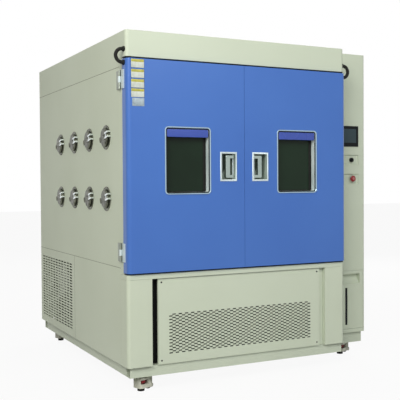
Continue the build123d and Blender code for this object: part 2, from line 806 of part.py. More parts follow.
def make_column_recesses():
    """Two pressed trays that carry the power knob and the stop button."""
    trays = []
    controls = ((knob_x, knob_z, 6), (stop_x, stop_z, 11))
    for (z0, z1), (x, z, bore) in zip(recess_heights, controls):
        x0, x1 = controls_x - recess_width / 2, controls_x + recess_width / 2
        deep = column_front + recess_depth
        tray = block(x0, x1, column_front - 1, column_front, z0, z1)
        tray += block(x0 + 2, x1 - 2, column_front, deep + sheet, z0 + 2, z1 - 2)
        cut = block(x0 + 5, x1 - 5, column_front - 10, deep, z0 + 5, z1 - 5)
        cut = chamfer(cut.faces().sort_by(Axis.Y)[-1].edges(), 5)
        tray -= cut
        tray -= rod_y(x, deep - 1, deep + 10, z, bore + running_gap)
        trays.append(tray)
    return group(*trays)


def make_power_knob():
    """Round rotary switch with a raised finger bar."""
    y = column_front + recess_depth
    knob = rod_y(knob_x, y - 16, y - clearance, knob_z, 15)
    knob = chamfer(knob.faces().sort_by(Axis.Y)[0].edges(), 2)
    knob += block(knob_x - 3, knob_x + 3, y - 22, y - 15, knob_z - 13, knob_z + 13)
    return knob + rod_y(knob_x, y - 1, y + 18, knob_z, 6)


def make_stop_button():
    """Mushroom-headed stop button on its stem."""
    y = column_front + recess_depth
    head = Polyline((0, 0), (20, 0), (20, 5), (15, 11), (6, 14), (0, 14), close=True)
    head = revolve(Plane.XZ * make_face(head), Axis.Z)
    head = Pos(stop_x, y - 14, stop_z) * Rot(90, 0, 0) * head
    return head + rod_y(stop_x, y - 15, y + 20, stop_z, 11)


def make_touch_screen():
    """Touch screen: a thin bezel in front of the column and the body behind it."""
    x0, x1 = screen_x - screen_width / 2, screen_x + screen_width / 2
    z0, z1 = screen_z - screen_height / 2, screen_z + screen_height / 2
    bezel = block(x0, x1, column_front - 7, column_front, z0, z1)
    bezel = chamfer(bezel.faces().sort_by(Axis.Y)[0].edges(), 2)
    bezel -= block(x0 + 19, x1 - 19, column_front - 9, column_front - 5.5, z0 + 26, z1 - 20)
    body = block(x0 + 8, x1 - 8, column_front - 1, column_front + 38, z0 + 8, z1 - 8)
    return bezel + body


def make_water_drawer():
    """Water drawer: flush front with a moulded pull trough and a level slot, and the open tank
    behind it."""
    half = drawer_width / 2
    x0, x1 = controls_x - half, controls_x + half
    face = block(x0, x1, column_front, column_front + 12, drawer_low, drawer_high)
    face -= block(
        x0 + 2, x1 - 2, column_front + sheet, column_front + 20, drawer_low + 2, drawer_high - 2
    )
    t0, t1 = controls_x - 118, controls_x + 118
    trough = block(t0 - 3, t1 + 3, column_front, column_front + 34, trough_low - 3, trough_high + 3)
    face += trough
    depth = 30
    curve = Polyline(
        (column_front - 2, trough_low), (column_front + 8, trough_low + 6),
        (column_front + 21, trough_low + 22), (column_front + depth, trough_low + 46),
        (column_front + depth, trough_high - 22), (column_front + depth - 8, trough_high - 22),
        (column_front - 2, trough_high - 8), close=True,
    )
    hollow = extrude(Plane.YZ * make_face(curve), t1 - t0)
    face -= Pos(t0, 0, 0) * hollow
    slot = controls_x - 1
    face -= block(
        slot - 10, slot + 10, column_front - 1, column_front + 5, pan + 68, pan + 335
    )
    y0, y1, floor = column_front + 12, column_front + 330, drawer_low + 12
    tank = block(x0 + 30, x1 - 30, y0, y1, floor, pan + 344)
    tank -= block(x0 + 33, x1 - 33, y0 + 3, y1 - 3, floor + 3, pan + 350)
    bridge = block(x0 + 40, x1 - 40, y0 - 10, y0, floor - 8, floor + 4)
    return face + tank + bridge


def make_caster(x, y):
    """Levelling caster: swivel race, cast housing with a window on each side, and the screw with
    its red adjusting ring and foot pad on the swivel axis."""
    race_z = caster_height - plate_thickness - 4
    axle_z = wheel_radius + wheel_lift
    race = Pos(0, 0, race_z) * Cylinder(30, 7.4)
    housing = Pos(16, 0, 53) * Box(104, 76, 66)
    housing = fillet(housing.edges().filter_by(Axis.Z), 18)
    housing -= Pos(56, 0, 38) * Box(76, 34, 84)
    housing -= Pos(0, 0, 40) * Cylinder(28, 60)
    housing -= Pos(-1, 0, 57) * Box(60, 90, 26)
    housing -= Pos(70, 0, 0) * Box(60, 90, 48)
    axle = Pos(wheel_offset, 0, axle_z) * Rot(90, 0, 0) * Cylinder(4, 78)
    bosses = Pos(wheel_offset, 0, axle_z) * Rot(90, 0, 0) * Cylinder(13, 80)
    bosses -= Pos(wheel_offset, 0, axle_z) * Box(40, 34, 40)
    screw = Pos(0, 0, 58) * Cylinder(24, 14) + Pos(0, 0, 44) * Cylinder(8, 56)
    screw += Pos(0, 0, 7.5) * Cylinder(22, 15) + Pos(0, 0, 17) * Cylinder(14, 6)
    pieces = group(race + housing + bosses + axle, screw)
    return group(*[Pos(x, y, 0) * Rot(0, 0, caster_heading) * s for s in pieces.solids()])


def make_caster_wheel(x, y):
    """Nylon wheel that turns on the caster's axle."""
    wheel = Cylinder(wheel_radius, 28)
    wheel = fillet(wheel.edges().filter_by(GeomType.CIRCLE), 4)
    wheel -= Cylinder(4 + running_gap, 40)
    wheel = Pos(wheel_offset, 0, wheel_radius + wheel_lift) * Rot(90, 0, 0) * wheel
    return Pos(x, y, 0) * Rot(0, 0, caster_heading) * wheel


def make_all():
    """Every node's name and shape."""
    parts = {
        "base_frame": make_base_frame(),
        "left_side_panel": make_left_side_panel(),
        "left_lower_panel": make_left_lower_panel(),
        "right_side_panel": make_right_side_panel(),
        "rear_panel": make_rear_panel(),
        "roof_cap": make_roof_cap(),
        "front_frame": make_front_frame(),
        "front_grille_panel": make_front_grille_panel(),
        "door_frame": make_door_frame(),
        "inner_liner": make_inner_liner(),
        "insulation": make_insulation(),
        "air_baffle": make_air_baffle(),
        "coil_bank": make_coil_bank(),
        "fan_motor": make_fan_motor(),
        "fan_wheel": make_fan_wheel(),
        "compressor": make_compressor(),
        "condenser": make_condenser(),
        "condenser_fan": make_condenser_fan(),
        "port_necks": group(*[make_port_neck(y, z) for y, z in port_centres()]),
        "hinge_brackets": make_hinge_brackets(),
        "shelf_uprights": make_shelf_uprights(),
        "control_column": make_control_column(),
        "column_recesses": make_column_recesses(),
        "touch_screen": make_touch_screen(),
        "power_knob": make_power_knob(),
        "stop_button": make_stop_button(),
        "water_drawer": make_water_drawer(),
        "lower_shelf": make_shelf(shelf_heights[0]),
        "upper_shelf": make_shelf(shelf_heights[1]),
    }
    door_pieces = {
        "door_skin": make_door_skin,
        "door_liner": make_door_liner,
        "door_gasket": make_door_gasket,
        "window_trim": make_window_trim,
        "window_glass": make_window_glass,
        "door_fittings": make_door_fittings,
        "handle_grip": make_handle_grip,
    }
    for name, make in door_pieces.items():
        shape = make()
        parts["left_" + name] = shape
        parts["right_" + name] = mirrored(shape)
    conduit = make_door_conduit()
    parts["door_conduits"] = group(conduit, mirrored(conduit))
    for number, (y, z) in enumerate(port_centres(), start=1):
        parts[f"port_cap_{number}"] = make_port_cap(y, z)
    for corner, (x, y) in caster_centres().items():
        parts["caster_" + corner] = make_caster(x, y)
        parts["wheel_" + corner] = make_caster_wheel(x, y)
    return parts


def main():
    os.makedirs("parts", exist_ok=True)
    for name, shape in make_all().items():
        export_step(shape, f"parts/{name}.step")


main()
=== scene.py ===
# %% [markdown]
# # A walk-up environmental test chamber
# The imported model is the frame: its nodes already have the right shapes and places, in metres,
# with Z up and the origin on the floor. This script dresses it. Some nodes only need a good
# material, some get a finer piece in their place, and small things such as labels and screws are
# added.

# %% Load the frame
import json
import math

import bpy
import numpy as np
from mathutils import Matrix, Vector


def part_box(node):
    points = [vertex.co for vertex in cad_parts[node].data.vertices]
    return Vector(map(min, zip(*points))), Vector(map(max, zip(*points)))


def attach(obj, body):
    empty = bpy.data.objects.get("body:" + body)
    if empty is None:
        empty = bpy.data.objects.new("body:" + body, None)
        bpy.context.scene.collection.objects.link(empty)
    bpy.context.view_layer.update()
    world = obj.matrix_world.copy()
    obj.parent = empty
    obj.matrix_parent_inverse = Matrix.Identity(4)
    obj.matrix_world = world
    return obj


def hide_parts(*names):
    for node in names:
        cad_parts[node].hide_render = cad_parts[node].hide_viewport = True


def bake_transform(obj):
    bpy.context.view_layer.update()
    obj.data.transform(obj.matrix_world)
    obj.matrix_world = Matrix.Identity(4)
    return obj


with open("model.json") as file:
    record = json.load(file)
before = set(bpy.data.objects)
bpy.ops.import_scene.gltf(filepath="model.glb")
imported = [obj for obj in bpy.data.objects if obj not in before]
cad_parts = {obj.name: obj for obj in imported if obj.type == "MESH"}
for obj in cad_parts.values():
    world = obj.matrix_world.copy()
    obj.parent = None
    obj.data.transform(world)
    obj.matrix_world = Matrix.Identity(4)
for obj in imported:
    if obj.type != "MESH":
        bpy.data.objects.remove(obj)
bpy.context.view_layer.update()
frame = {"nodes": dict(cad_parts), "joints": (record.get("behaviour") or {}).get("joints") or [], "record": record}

# %% [markdown]
# A surface worked out with numpy is a grid of points. One helper puts points and faces into a
# mesh, shades it smooth and keeps edges sharper than about thirty degrees crisp, as pressed steel
# is. A second lists the quads that join a grid's neighbours. Shapes could also be added and
# edited by hand, but then nothing would say where their sizes come from.

# %% Mesh helpers
SHARP_ANGLE = math.radians(32)


def put_mesh(name, points, faces, finishes, picks=None, smooth=True):
    """Builds an object from points (n, 3) and faces. picks gives each face one of the finishes."""
    mesh = bpy.data.meshes.new(name)
    mesh.from_pydata(np.asarray(points, float).tolist(), [], [list(map(int, f)) for f in faces])
    for paint in finishes:
        mesh.materials.append(paint)
    if picks is not None:
        mesh.polygons.foreach_set("material_index", np.asarray(picks, np.int32))
    mesh.polygons.foreach_set("use_smooth", np.full(len(mesh.polygons), smooth))
    if smooth:
        mesh.set_sharp_from_angle(angle=SHARP_ANGLE)
    mesh.update()
    piece = bpy.data.objects.new(name, mesh)
    bpy.context.scene.collection.objects.link(piece)
    return piece


def grid_faces(rows, columns, close_rows=False, close_columns=False):
    """Quads between neighbours of a grid: cell (i, j) joins points i and i+1, j and j+1, and a
    closed direction also joins its last line of points to its first."""
    i = np.arange(rows if close_rows else rows - 1)
    j = np.arange(columns if close_columns else columns - 1)
    i, j = np.meshgrid(i, j, indexing="ij")
    i2, j2 = (i + 1) % rows, (j + 1) % columns
    quads = np.stack([i * columns + j, i * columns + j2, i2 * columns + j2, i2 * columns + j], -1)
    return quads.reshape(-1, 4)


def ride(piece, body, replaces=()):
    """Attaches a piece to the body it moves with and hides the nodes it replaces."""
    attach(piece, body)
    if replaces:
        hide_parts(*replaces)
    return piece


print("mesh helpers ready")

# %% [markdown]
# Two effects turn up in nearly every finish here, so each is a node group made once. Tone drift
# slides a colour towards a second one in large soft patches, as sprayed paint and rolled steel
# do. Fine grain is a height for a Bump node: equal scales give the orange peel of powder coat,
# and unequal scales pull it into the straight lines of brushed steel. Each material could hold
# its own copy of these nodes, but a group is mended in one place.

# %% Node groups
def new_group(name, inputs, outputs):
    """A shader node group with named sockets, and its input and output nodes."""
    group = bpy.data.node_groups.new(name, "ShaderNodeTree")
    for label, kind, value in inputs:
        socket = group.interface.new_socket(name=label, in_out="INPUT", socket_type=kind)
        socket.default_value = value
    for label, kind in outputs:
        group.interface.new_socket(name=label, in_out="OUTPUT", socket_type=kind)
    return group, group.nodes.new("NodeGroupInput"), group.nodes.new("NodeGroupOutput")


def settle(node, values):
    """Sets a node's own inputs, given as {input: value}."""
    for entry, value in values.items():
        node.inputs[entry].default_value = value


def wire(tree, *joins):
    """Links nodes, each join given as (node, output, node, input)."""
    for first, output, second, entry in joins:
        tree.links.new(first.outputs[output], second.inputs[entry])


def build_tone_drift():
    """Colour = mix of Colour and Shade by a noise of the given scale, weighted by Amount."""
    group, source, result = new_group(
        "tone_drift",
        [("Colour", "NodeSocketColor", (0.5, 0.5, 0.5, 1)),
         ("Shade", "NodeSocketColor", (0.4, 0.4, 0.4, 1)),
         ("Scale", "NodeSocketFloat", 1.5), ("Amount", "NodeSocketFloat", 0.5)],
        [("Colour", "NodeSocketColor"), ("Mask", "NodeSocketFloat")],
    )
    place = group.nodes.new("ShaderNodeTexCoord")
    noise = group.nodes.new("ShaderNodeTexNoise")
    settle(noise, {"Detail": 3})
    spread = group.nodes.new("ShaderNodeMapRange")
    settle(spread, {"From Min": 0.35, "From Max": 0.7})
    weight = group.nodes.new("ShaderNodeMath")
    weight.operation = "MULTIPLY"
    mix = group.nodes.new("ShaderNodeMix")
    mix.data_type = "RGBA"
    wire(group, (place, "Object", noise, "Vector"), (source, "Scale", noise, "Scale"),
         (noise, "Fac", spread, "Value"), (spread, "Result", weight, 0),
         (source, "Amount", weight, 1), (weight, 0, mix, "Factor"),
         (source, "Colour", mix, "A"), (source, "Shade", mix, "B"),
         (mix, "Result", result, "Colour"), (weight, 0, result, "Mask"))
    return group


def build_fine_grain():
    """Height = noise of Object coordinates that were multiplied by Stretch, axis by axis."""
    group, source, result = new_group(
        "fine_grain",
        [("Stretch", "NodeSocketVector", (1, 1, 1)), ("Scale", "NodeSocketFloat", 600.0)],
        [("Height", "NodeSocketFloat")],
    )
    place = group.nodes.new("ShaderNodeTexCoord")
    stretch = group.nodes.new("ShaderNodeMapping")
    noise = group.nodes.new("ShaderNodeTexNoise")
    settle(noise, {"Detail": 2})
    wire(group, (place, "Object", stretch, "Vector"), (source, "Stretch", stretch, "Scale"),
         (stretch, "Vector", noise, "Vector"), (source, "Scale", noise, "Scale"),
         (noise, "Fac", result, "Height"))
    return group


tone_drift = build_tone_drift()
fine_grain = build_fine_grain()
print("node groups:", tone_drift.name, fine_grain.name)

# %% [markdown]
# One recipe then covers the solid finishes. A finish is a base colour that drifts a little, a
# roughness that follows the same patches, and a fine bump. Colours are written as they look on
# screen, from 0 to 255, and turned into the linear values that Blender calculates with.

# %% The finish recipe
GRAIN_DEPTH = 0.0004


def linear(red, green, blue):
    """Screen colour to linear colour: the usual curve, a power of 2.4 above a straight toe."""
    value = np.array([red, green, blue]) / 255
    value = np.where(value <= 0.04045, value / 12.92, ((value + 0.055) / 1.055) ** 2.4)
    return (*value.tolist(), 1.0)


def finish(name, colour, shade, rough, metallic=0.0, drift=(1.5, 0.5), grain=0,
           bump=0.05, gloss=0.5, stretch=(1, 1, 1)):
    """Principled BSDF with drifting colour and roughness. drift is the scale and amount of the
    patches, grain and stretch are the bump's scale and directions, gloss the specular level."""
    made = bpy.data.materials.new(name)
    made.use_nodes = True
    tree = made.node_tree
    shader = tree.nodes["Principled BSDF"]
    settle(shader, {"Metallic": metallic, "Specular IOR Level": gloss})
    tone = tree.nodes.new("ShaderNodeGroup")
    tone.node_tree = tone_drift
    settle(tone, {"Colour": linear(*colour), "Shade": linear(*shade),
                  "Scale": drift[0], "Amount": drift[1]})
    level = tree.nodes.new("ShaderNodeMapRange")
    settle(level, {"To Min": rough[0], "To Max": rough[1]})
    wire(tree, (tone, "Colour", shader, "Base Color"), (tone, "Mask", level, "Value"),
         (level, "Result", shader, "Roughness"))
    if grain:
        height = tree.nodes.new("ShaderNodeGroup")
        height.node_tree = fine_grain
        settle(height, {"Stretch": stretch, "Scale": grain})
        lift = tree.nodes.new("ShaderNodeBump")
        settle(lift, {"Strength": bump, "Distance": GRAIN_DEPTH})
        wire(tree, (height, "Height", lift, "Height"), (lift, "Normal", shader, "Normal"))
    return made


print("grain stands", GRAIN_DEPTH, "m high")

# %% [markdown]
# The finishes that the chamber shows: pale and blue powder coat, steel from mirror bright to
# dull, zinc, cast alloy, rubber and plastics. A metal mirrors the white room, so a steel that
# looks mid grey on the real chamber is given little or no metallic. A low gloss keeps black parts
# black.

# %% Finishes
cabinet_paint = finish("cabinet_paint", (204, 212, 193), (197, 205, 185), (0.48, 0.58), grain=420,
    bump=0.12, gloss=0.35)
frame_paint = finish("frame_paint", (201, 209, 191), (191, 199, 180), (0.48, 0.58), grain=420,
    bump=0.12, gloss=0.35)
door_paint = finish("door_paint", (69, 113, 191), (61, 103, 182), (0.3, 0.38), grain=380, bump=0.1,
    gloss=0.4)
brushed_steel = finish("brushed_steel", (184, 187, 185), (164, 167, 165), (0.26, 0.36), 1.0,
    (3.0, 0.6), 8, stretch=(3, 3, 260), bump=0.25)
# Bright steel goes only on the port caps' outer bars and bridges, as a painted highlight.
bright_steel = finish("bright_steel", (222, 228, 228), (202, 210, 211), (0.12, 0.22), 1.0,
    (9.0, 0.5), 300, bump=0.03)
rim_steel = finish("rim_steel", (172, 194, 208), (152, 176, 192), (0.2, 0.3), 1.0, (9.0, 0.5), 300,
    bump=0.03)
port_steel = finish("port_steel", (112, 114, 100), (66, 68, 58), (0.3, 0.45), 1.0, (40.0, 0.95),
    260, bump=0.2)
cup_steel = finish("cup_steel", (122, 136, 126), (98, 112, 102), (0.35, 0.45), 0.3, (18.0, 0.6),
    260, bump=0.1)
grip_steel = finish("grip_steel", (166, 180, 174), (144, 158, 152), (0.24, 0.34), 1.0, (14.0, 0.6),
    260, bump=0.08)
lip_steel = finish("lip_steel", (204, 217, 220), (188, 202, 205), (0.35, 0.45), 0.2, (14.0, 0.5),
    260, bump=0.05)
sleeve_steel = finish("sleeve_steel", (214, 226, 226), (186, 202, 202), (0.3, 0.4), 0.1,
    (7.0, 0.8), 8, stretch=(260, 3, 3), bump=0.2)
zinc_plate = finish("zinc_plate", (150, 156, 146), (122, 128, 118), (0.3, 0.44), 0.9, (12.0, 0.8),
    200, bump=0.1)
cast_grey = finish("cast_grey", (206, 206, 192), (172, 172, 158), (0.35, 0.5), 0.0, (20.0, 0.7),
    500, bump=0.3)
fin_metal = finish("fin_metal", (186, 190, 190), (150, 154, 154), (0.3, 0.45), 1.0, (8.0, 0.6), 2,
    stretch=(300, 1, 1), bump=0.4)
black_enamel = finish("black_enamel", (30, 31, 31), (20, 21, 21), (0.4, 0.55), 0.0, (6.0, 0.7),
    300, bump=0.1, gloss=0.2)
black_rubber = finish("black_rubber", (24, 24, 22), (34, 34, 31), (0.6, 0.75), 0.0, (20.0, 0.5),
    700, bump=0.25, gloss=0.2)
yellow_foam = finish("yellow_foam", (226, 208, 150), (204, 182, 122), (0.8, 0.95), 0.0,
    (25.0, 0.8), 220, bump=0.8)
pale_plastic = finish("pale_plastic", (206, 209, 206), (188, 191, 188), (0.4, 0.5), 0.0,
    (10.0, 0.4), 500, bump=0.08)
black_plastic = finish("black_plastic", (16, 20, 22), (24, 28, 30), (0.3, 0.42), 0.0, (30.0, 0.5),
    600, bump=0.1, gloss=0.12)
red_plastic = finish("red_plastic", (146, 28, 34), (116, 18, 24), (0.25, 0.35), 0.0, (40.0, 0.5),
    400, bump=0.04, gloss=0.3)
# The paler red is the painted highlight in the middle of the stop button.
highlight_red = finish("highlight_red", (190, 118, 114), (170, 96, 94), (0.25, 0.35), 0.0, (40.0, 0.5), 400,
    bump=0.04, gloss=0.3)
nylon = finish("nylon", (96, 94, 86), (70, 68, 62), (0.45, 0.6), 0.0, (40.0, 0.7), 500, bump=0.15)
seam_grey = finish("seam_grey", (116, 119, 100), (98, 101, 84), (0.6, 0.75), 0.0, (20.0, 0.5), 600,
    bump=0.2, gloss=0.2)
print("finishes:", len(bpy.data.materials))

# %% [markdown]
# Glass and the screen are different. The window is heated double glazing, dark green where the
# unlit test space lies behind it. Clear glass would need a lit room behind it, so its body colour
# is a dark green instead and only a little light passes. The lamp covers and labels are smooth
# films.

# %% Glass, screen and films
def glazing(name, colour, transmission, rough):
    """Dark smooth body with plain transmission. The colour drifts down to three quarters of it."""
    made = finish(name, colour, tuple(0.75 * np.array(colour)), (rough, rough + 0.03),
                  drift=(2.0, 0.8), gloss=0.1)
    settle(made.node_tree.nodes["Principled BSDF"], {"Transmission Weight": transmission})
    return made


window_glass = glazing("window_glass", (30, 48, 34), 0.1, 0.05)
screen_glass = glazing("screen_glass", (68, 84, 90), 0.0, 0.12)
blue_film = finish("blue_film", (56, 80, 168), (48, 70, 154), (0.25, 0.32), drift=(6.0, 0.5))
white_film = finish("white_film", (208, 214, 206), (176, 182, 174), (0.35, 0.42),
                    drift=(60.0, 0.6))
ochre_film = finish("ochre_film", (188, 180, 76), (150, 146, 60), (0.35, 0.42), drift=(60.0, 0.7))
grey_film = finish("grey_film", (168, 182, 190), (132, 146, 156), (0.35, 0.42), drift=(70.0, 0.8))
print("films and glass ready")

# %% [markdown]
# Each CAD node whose shape is right keeps its mesh and only changes its material. The record's
# slots say what a node is made of, but a few are dressed by what is seen: the foam core of a door
# is covered by a stainless inner face, and the insulation never shows.

# %% Dress the CAD nodes
node_finish = {
    "base_frame": frame_paint, "inner_liner": brushed_steel, "insulation": yellow_foam,
    "air_baffle": brushed_steel, "coil_bank": fin_metal, "fan_motor": black_enamel,
    "compressor": black_enamel, "condenser": black_enamel, "port_necks": port_steel,
    "hinge_brackets": zinc_plate, "shelf_uprights": brushed_steel, "touch_screen": black_plastic,
    "door_conduits": black_rubber, "fan_wheel": zinc_plate, "condenser_fan": pale_plastic,
    "power_knob": black_plastic, "lower_shelf": brushed_steel, "upper_shelf": brushed_steel,
}
for side in ("left", "right"):
    node_finish.update({
        f"{side}_door_skin": door_paint, f"{side}_door_liner": brushed_steel,
        f"{side}_door_gasket": black_rubber, f"{side}_window_glass": window_glass,
        f"{side}_handle_grip": grip_steel,
    })
for node, shown in frame["nodes"].items():
    usual = port_steel if "port_cap" in node else nylon if "wheel" in node else cabinet_paint
    shown.data.materials.clear()
    shown.data.materials.append(node_finish.get(node, usual))
print("dressed", len(frame["nodes"]), "nodes")

# %% [markdown]
# The lower front panel is punched with rows of short slots, each row shifted by half a pitch,
# like bricks. Hundreds of Boolean cuts would be slow and leave ragged faces, and a picture of
# holes would look flat from the side. So the sheet is built from one tile: a rectangle with a
# round-ended slot in it, as rings of points that run round together, which makes the tile a band
# of quads. numpy then copies it to every place at once. The plain margins are four strips round
# the field of tiles.

# %% Slotted sheets
def slot_tile(width, height, slot_long, slot_high, thick, segments=4):
    """A tile round a slot, as rings of (across, up, depth): the tile's edge, the slot's front rim
    and the slot's back rim. The slot's ends are half circles."""
    angle = np.linspace(-math.pi / 2, math.pi / 2, segments + 1)
    reach = (slot_long - slot_high) / 2
    end = np.stack([reach + slot_high / 2 * np.cos(angle), slot_high / 2 * np.sin(angle)], 1)
    slot = np.concatenate([end, -end])
    scale = np.minimum(width / 2 / np.maximum(abs(slot[:, 0]), 1e-9),
                       height / 2 / np.maximum(abs(slot[:, 1]), 1e-9))
    edge = slot * scale[:, None]
    for corner in (0, segments):
        edge[corner] = (width / 2, height / 2 * (1 if corner else -1))
        edge[corner + segments + 1] = -edge[corner]
    rings = np.zeros((3, len(slot), 3))
    rings[0, :, :2], rings[1, :, :2], rings[2, :, :2] = edge, slot, slot
    rings[2, :, 2] = thick
    return rings


def slotted_sheet(name, place, area, field, columns, rows, slot, thick, stagger, paint):
    """A sheet in its own plane, area and field given as (left, low, right, high). place turns
    (across, up, depth) into X, Y and Z. With stagger, every other row is moved by half a column."""
    left, low, right, high = field
    pitch = (right - left) / columns, (high - low) / rows
    rings = slot_tile(pitch[0], pitch[1], slot[0], slot[1], thick)
    i, j = np.meshgrid(np.arange(columns), np.arange(rows), indexing="ij")
    shift = (j % 2) * stagger * 0.5
    keep = (i + shift + 1 <= columns + 1e-6)
    centre = np.stack([left + (i + 0.5 + shift) * pitch[0], low + (j + 0.5) * pitch[1], 0 * i], -1)
    centre = centre[keep]
    points = (centre[:, None, None, :] + rings[None]).reshape(-1, 3)
    band = grid_faces(3, rings.shape[1], close_columns=True)
    starts = np.arange(len(centre)) * 3 * rings.shape[1]
    faces = (band[None] + starts[:, None, None]).reshape(-1, 4)
    strips = [(area[0], area[1], area[2], low), (area[0], high, area[2], area[3]),
              (area[0], low, left, high), (right, low, area[2], high)]
    if stagger:
        for row in range(1, rows, 2):
            z0, z1 = low + row * pitch[1], low + (row + 1) * pitch[1]
            strips += [(left, z0, left + pitch[0] / 2, z1), (right - pitch[0] / 2, z0, right, z1)]
    corners = np.array([[(a, b, 0), (c, b, 0), (c, d, 0), (a, d, 0)] for a, b, c, d in strips])
    extra = np.arange(4 * len(strips)).reshape(-1, 4) + len(points)
    points = np.concatenate([points, corners.reshape(-1, 3)])
    faces = [*faces.tolist(), *extra.tolist()]
    piece = put_mesh(name, place(points), faces, [paint], smooth=False)
    print(name, "slots", len(centre), "faces", len(faces))
    return piece


print("slot tile ready")

# %% [markdown]
# The front panel stands in a plane of constant Y and faces the viewer, so across is X and up is
# Z. The CAD node keeps the collision and this finer sheet is what is seen. The field of slots is
# placed from the shell's left edge and from the top of the base, where the CAD model counts from.

# %% Front panel
low, high = (np.array(corner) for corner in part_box("front_grille_panel"))
fold_depth, screw_inset, base_lip = 0.015, 0.022, 0.012
front_slot, front_sheet = (0.0255, 0.0072), 0.0015
panel_y = high[1] - fold_depth


def in_front(points):
    """Across is X, up is Z, and depth goes back along Y from the panel's face."""
    return np.stack([points[:, 0], panel_y + points[:, 2], points[:, 1]], 1)


left_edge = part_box("roof_cap")[0][0]
pan_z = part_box("base_frame")[1][2] - base_lip
field = (left_edge + 0.264, pan_z + 0.060, left_edge + 1.313, pan_z + 0.304)
front_panel = slotted_sheet("front_panel", in_front, (low[0], low[2], high[0], high[2]), field,
                            25, 24, front_slot, front_sheet, True, cabinet_paint)
ride(front_panel, "cabinet", ["front_grille_panel"])

# %% [markdown]
# The panel's edges are folded back by 15 mm, which shows beside the gap at the left. A Solidify
# modifier would thicken the whole sheet, so the fold is a profile carried round the panel's
# outline: the same four corners, first at the face, then further back.

# %% Folded edges
def rounded_outline(x, z, half_wide, half_high, radius, steps=6):
    """Points round a rectangle whose corners are quarter circles, anticlockwise from the front."""
    turn = np.linspace(0, math.pi / 2, steps)
    points = []
    for k, (sx, sz) in enumerate(((1, 1), (-1, 1), (-1, -1), (1, -1))):
        angle = turn + k * math.pi / 2
        centre = np.array([x + sx * (half_wide - radius), z + sz * (half_high - radius)])
        points.append(centre + radius * np.stack([np.cos(angle), np.sin(angle)], 1))
    return np.concatenate(points)


def carried_round(profile, x, z, half_wide, half_high, radius, steps=6):
    """A profile of (inset, y) pairs carried round a rounded rectangle: each pair is one ring of
    points, drawn in from the outline by the inset and set at that depth."""
    rings = []
    for inset, depth in profile:
        flat = rounded_outline(x, z, half_wide - inset, half_high - inset,
                               max(radius - inset, 0.0005), steps)
        rings.append(np.stack([flat[:, 0], np.full(len(flat), depth), flat[:, 1]], 1))
    return np.array(rings)


def ring_piece(name, profile, place, finishes, closed=True, steps=6):
    """A closed ring, such as a trim or a folded edge, as one grid of points."""
    rings = carried_round(profile, *place, steps=steps)
    faces = grid_faces(rings.shape[0], rings.shape[1], close_rows=closed, close_columns=True)
    return put_mesh(name, rings.reshape(-1, 3), faces, finishes)


middle_x, middle_z = (low[0] + high[0]) / 2, (low[2] + high[2]) / 2
half = ((high[0] - low[0]) / 2, (high[2] - low[2]) / 2)
fold_profile = [(0.0, panel_y), (0.0, panel_y + fold_depth), (0.002, panel_y + fold_depth),
                (0.002, panel_y + 0.0005)]
fold = ring_piece("front_panel_fold", fold_profile, (middle_x, middle_z, *half, 0.001),
                  [cabinet_paint], closed=False, steps=2)
ride(fold, "cabinet")
print("folded edge round", round(2 * half[0], 3), "by", round(2 * half[1], 3))

# %% [markdown]
# Screws, glands and buttons are all turned shapes: a profile of (radius, height) pairs spun round
# an axis. Blender's Spin tool or a Screw modifier would do it too. An array of angles needs no
# edit mode, spins about any axis, and joins a set of copies as one piece.

# %% Turned shapes
def turned(profile, centre, axis, segments=20):
    """Points and quads of a profile of (radius, height) spun round an axis through centre."""
    axis = np.asarray(axis, float) / np.linalg.norm(axis)
    side = np.cross(axis, (0, 0, 1) if abs(axis[2]) < 0.9 else (1, 0, 0))
    side /= np.linalg.norm(side)
    other = np.cross(axis, side)
    angle = np.linspace(0, 2 * math.pi, segments, endpoint=False)
    round_dir = np.cos(angle)[:, None] * side + np.sin(angle)[:, None] * other
    profile = np.asarray(profile, float)
    points = profile[:, 0, None, None] * round_dir + profile[:, 1, None, None] * axis
    points = points + np.asarray(centre)
    return points.reshape(-1, 3), grid_faces(len(profile), segments, close_columns=True)


def turned_set(name, profile, centres, axis, finishes, segments=16):
    """The same turned shape at several places, as one mesh."""
    points, faces = [], []
    for centre in centres:
        more, quads = turned(profile, centre, axis, segments)
        faces.append(quads + sum(len(p) for p in points))
        points.append(more)
    return put_mesh(name, np.concatenate(points), np.concatenate(faces), finishes)


screw_profile = [(0.0, 0.0012), (0.0016, 0.0012), (0.002, 0.0022), (0.0045, 0.0018), (0.0055, 0.0),
                 (0.0, 0.0)]
corners = [(x, panel_y, z) for x in (low[0] + screw_inset, high[0] - screw_inset)
           for z in (low[2] + screw_inset, high[2] - screw_inset)]
screws = turned_set("panel_screws", screw_profile, corners, (0, -1, 0), [black_enamel])
ride(screws, "cabinet")
print("screws", len(corners))

# %% [markdown]
# What lies behind the panel decides how dark its slots look. A black mat 8 mm behind the slots is
# painted shade for the dark space behind them, a black sheet closes the gap at the left from inside
# as painted shade, and a painted filler sheet makes the gap at the right shallow. Each is a flat
# sheet with a real thickness, as a single face would show from behind as a hole, and a tiny Bevel
# gives its edges a line of light.

# %% Sheets behind the panel
def slab(low_corner, high_corner):
    """The eight corners and six outward faces of a straight sheet between two corners."""
    corners = np.array([(x, y, z) for x in (0, 1) for y in (0, 1) for z in (0, 1)])
    points = np.asarray(low_corner) + corners * (np.asarray(high_corner) - np.asarray(low_corner))
    faces = [[0, 1, 3, 2], [4, 6, 7, 5], [0, 4, 5, 1], [2, 3, 7, 6], [0, 2, 6, 4], [1, 5, 7, 3]]
    return points, faces


def slabs(name, pairs, body, paint):
    """Several sheets as one piece: pairs are a lowest and a highest corner each."""
    points, faces = [], []
    for k, (low_corner, high_corner) in enumerate(pairs):
        more, quads = slab(low_corner, high_corner)
        points.append(more)
        faces += [[v + 8 * k for v in quad] for quad in quads]
    piece = put_mesh(name, np.concatenate(points), faces, [paint], smooth=False)
    edge = piece.modifiers.new("edge", "BEVEL")
    edge.width, edge.segments = 0.0003, 1
    ride(piece, body)


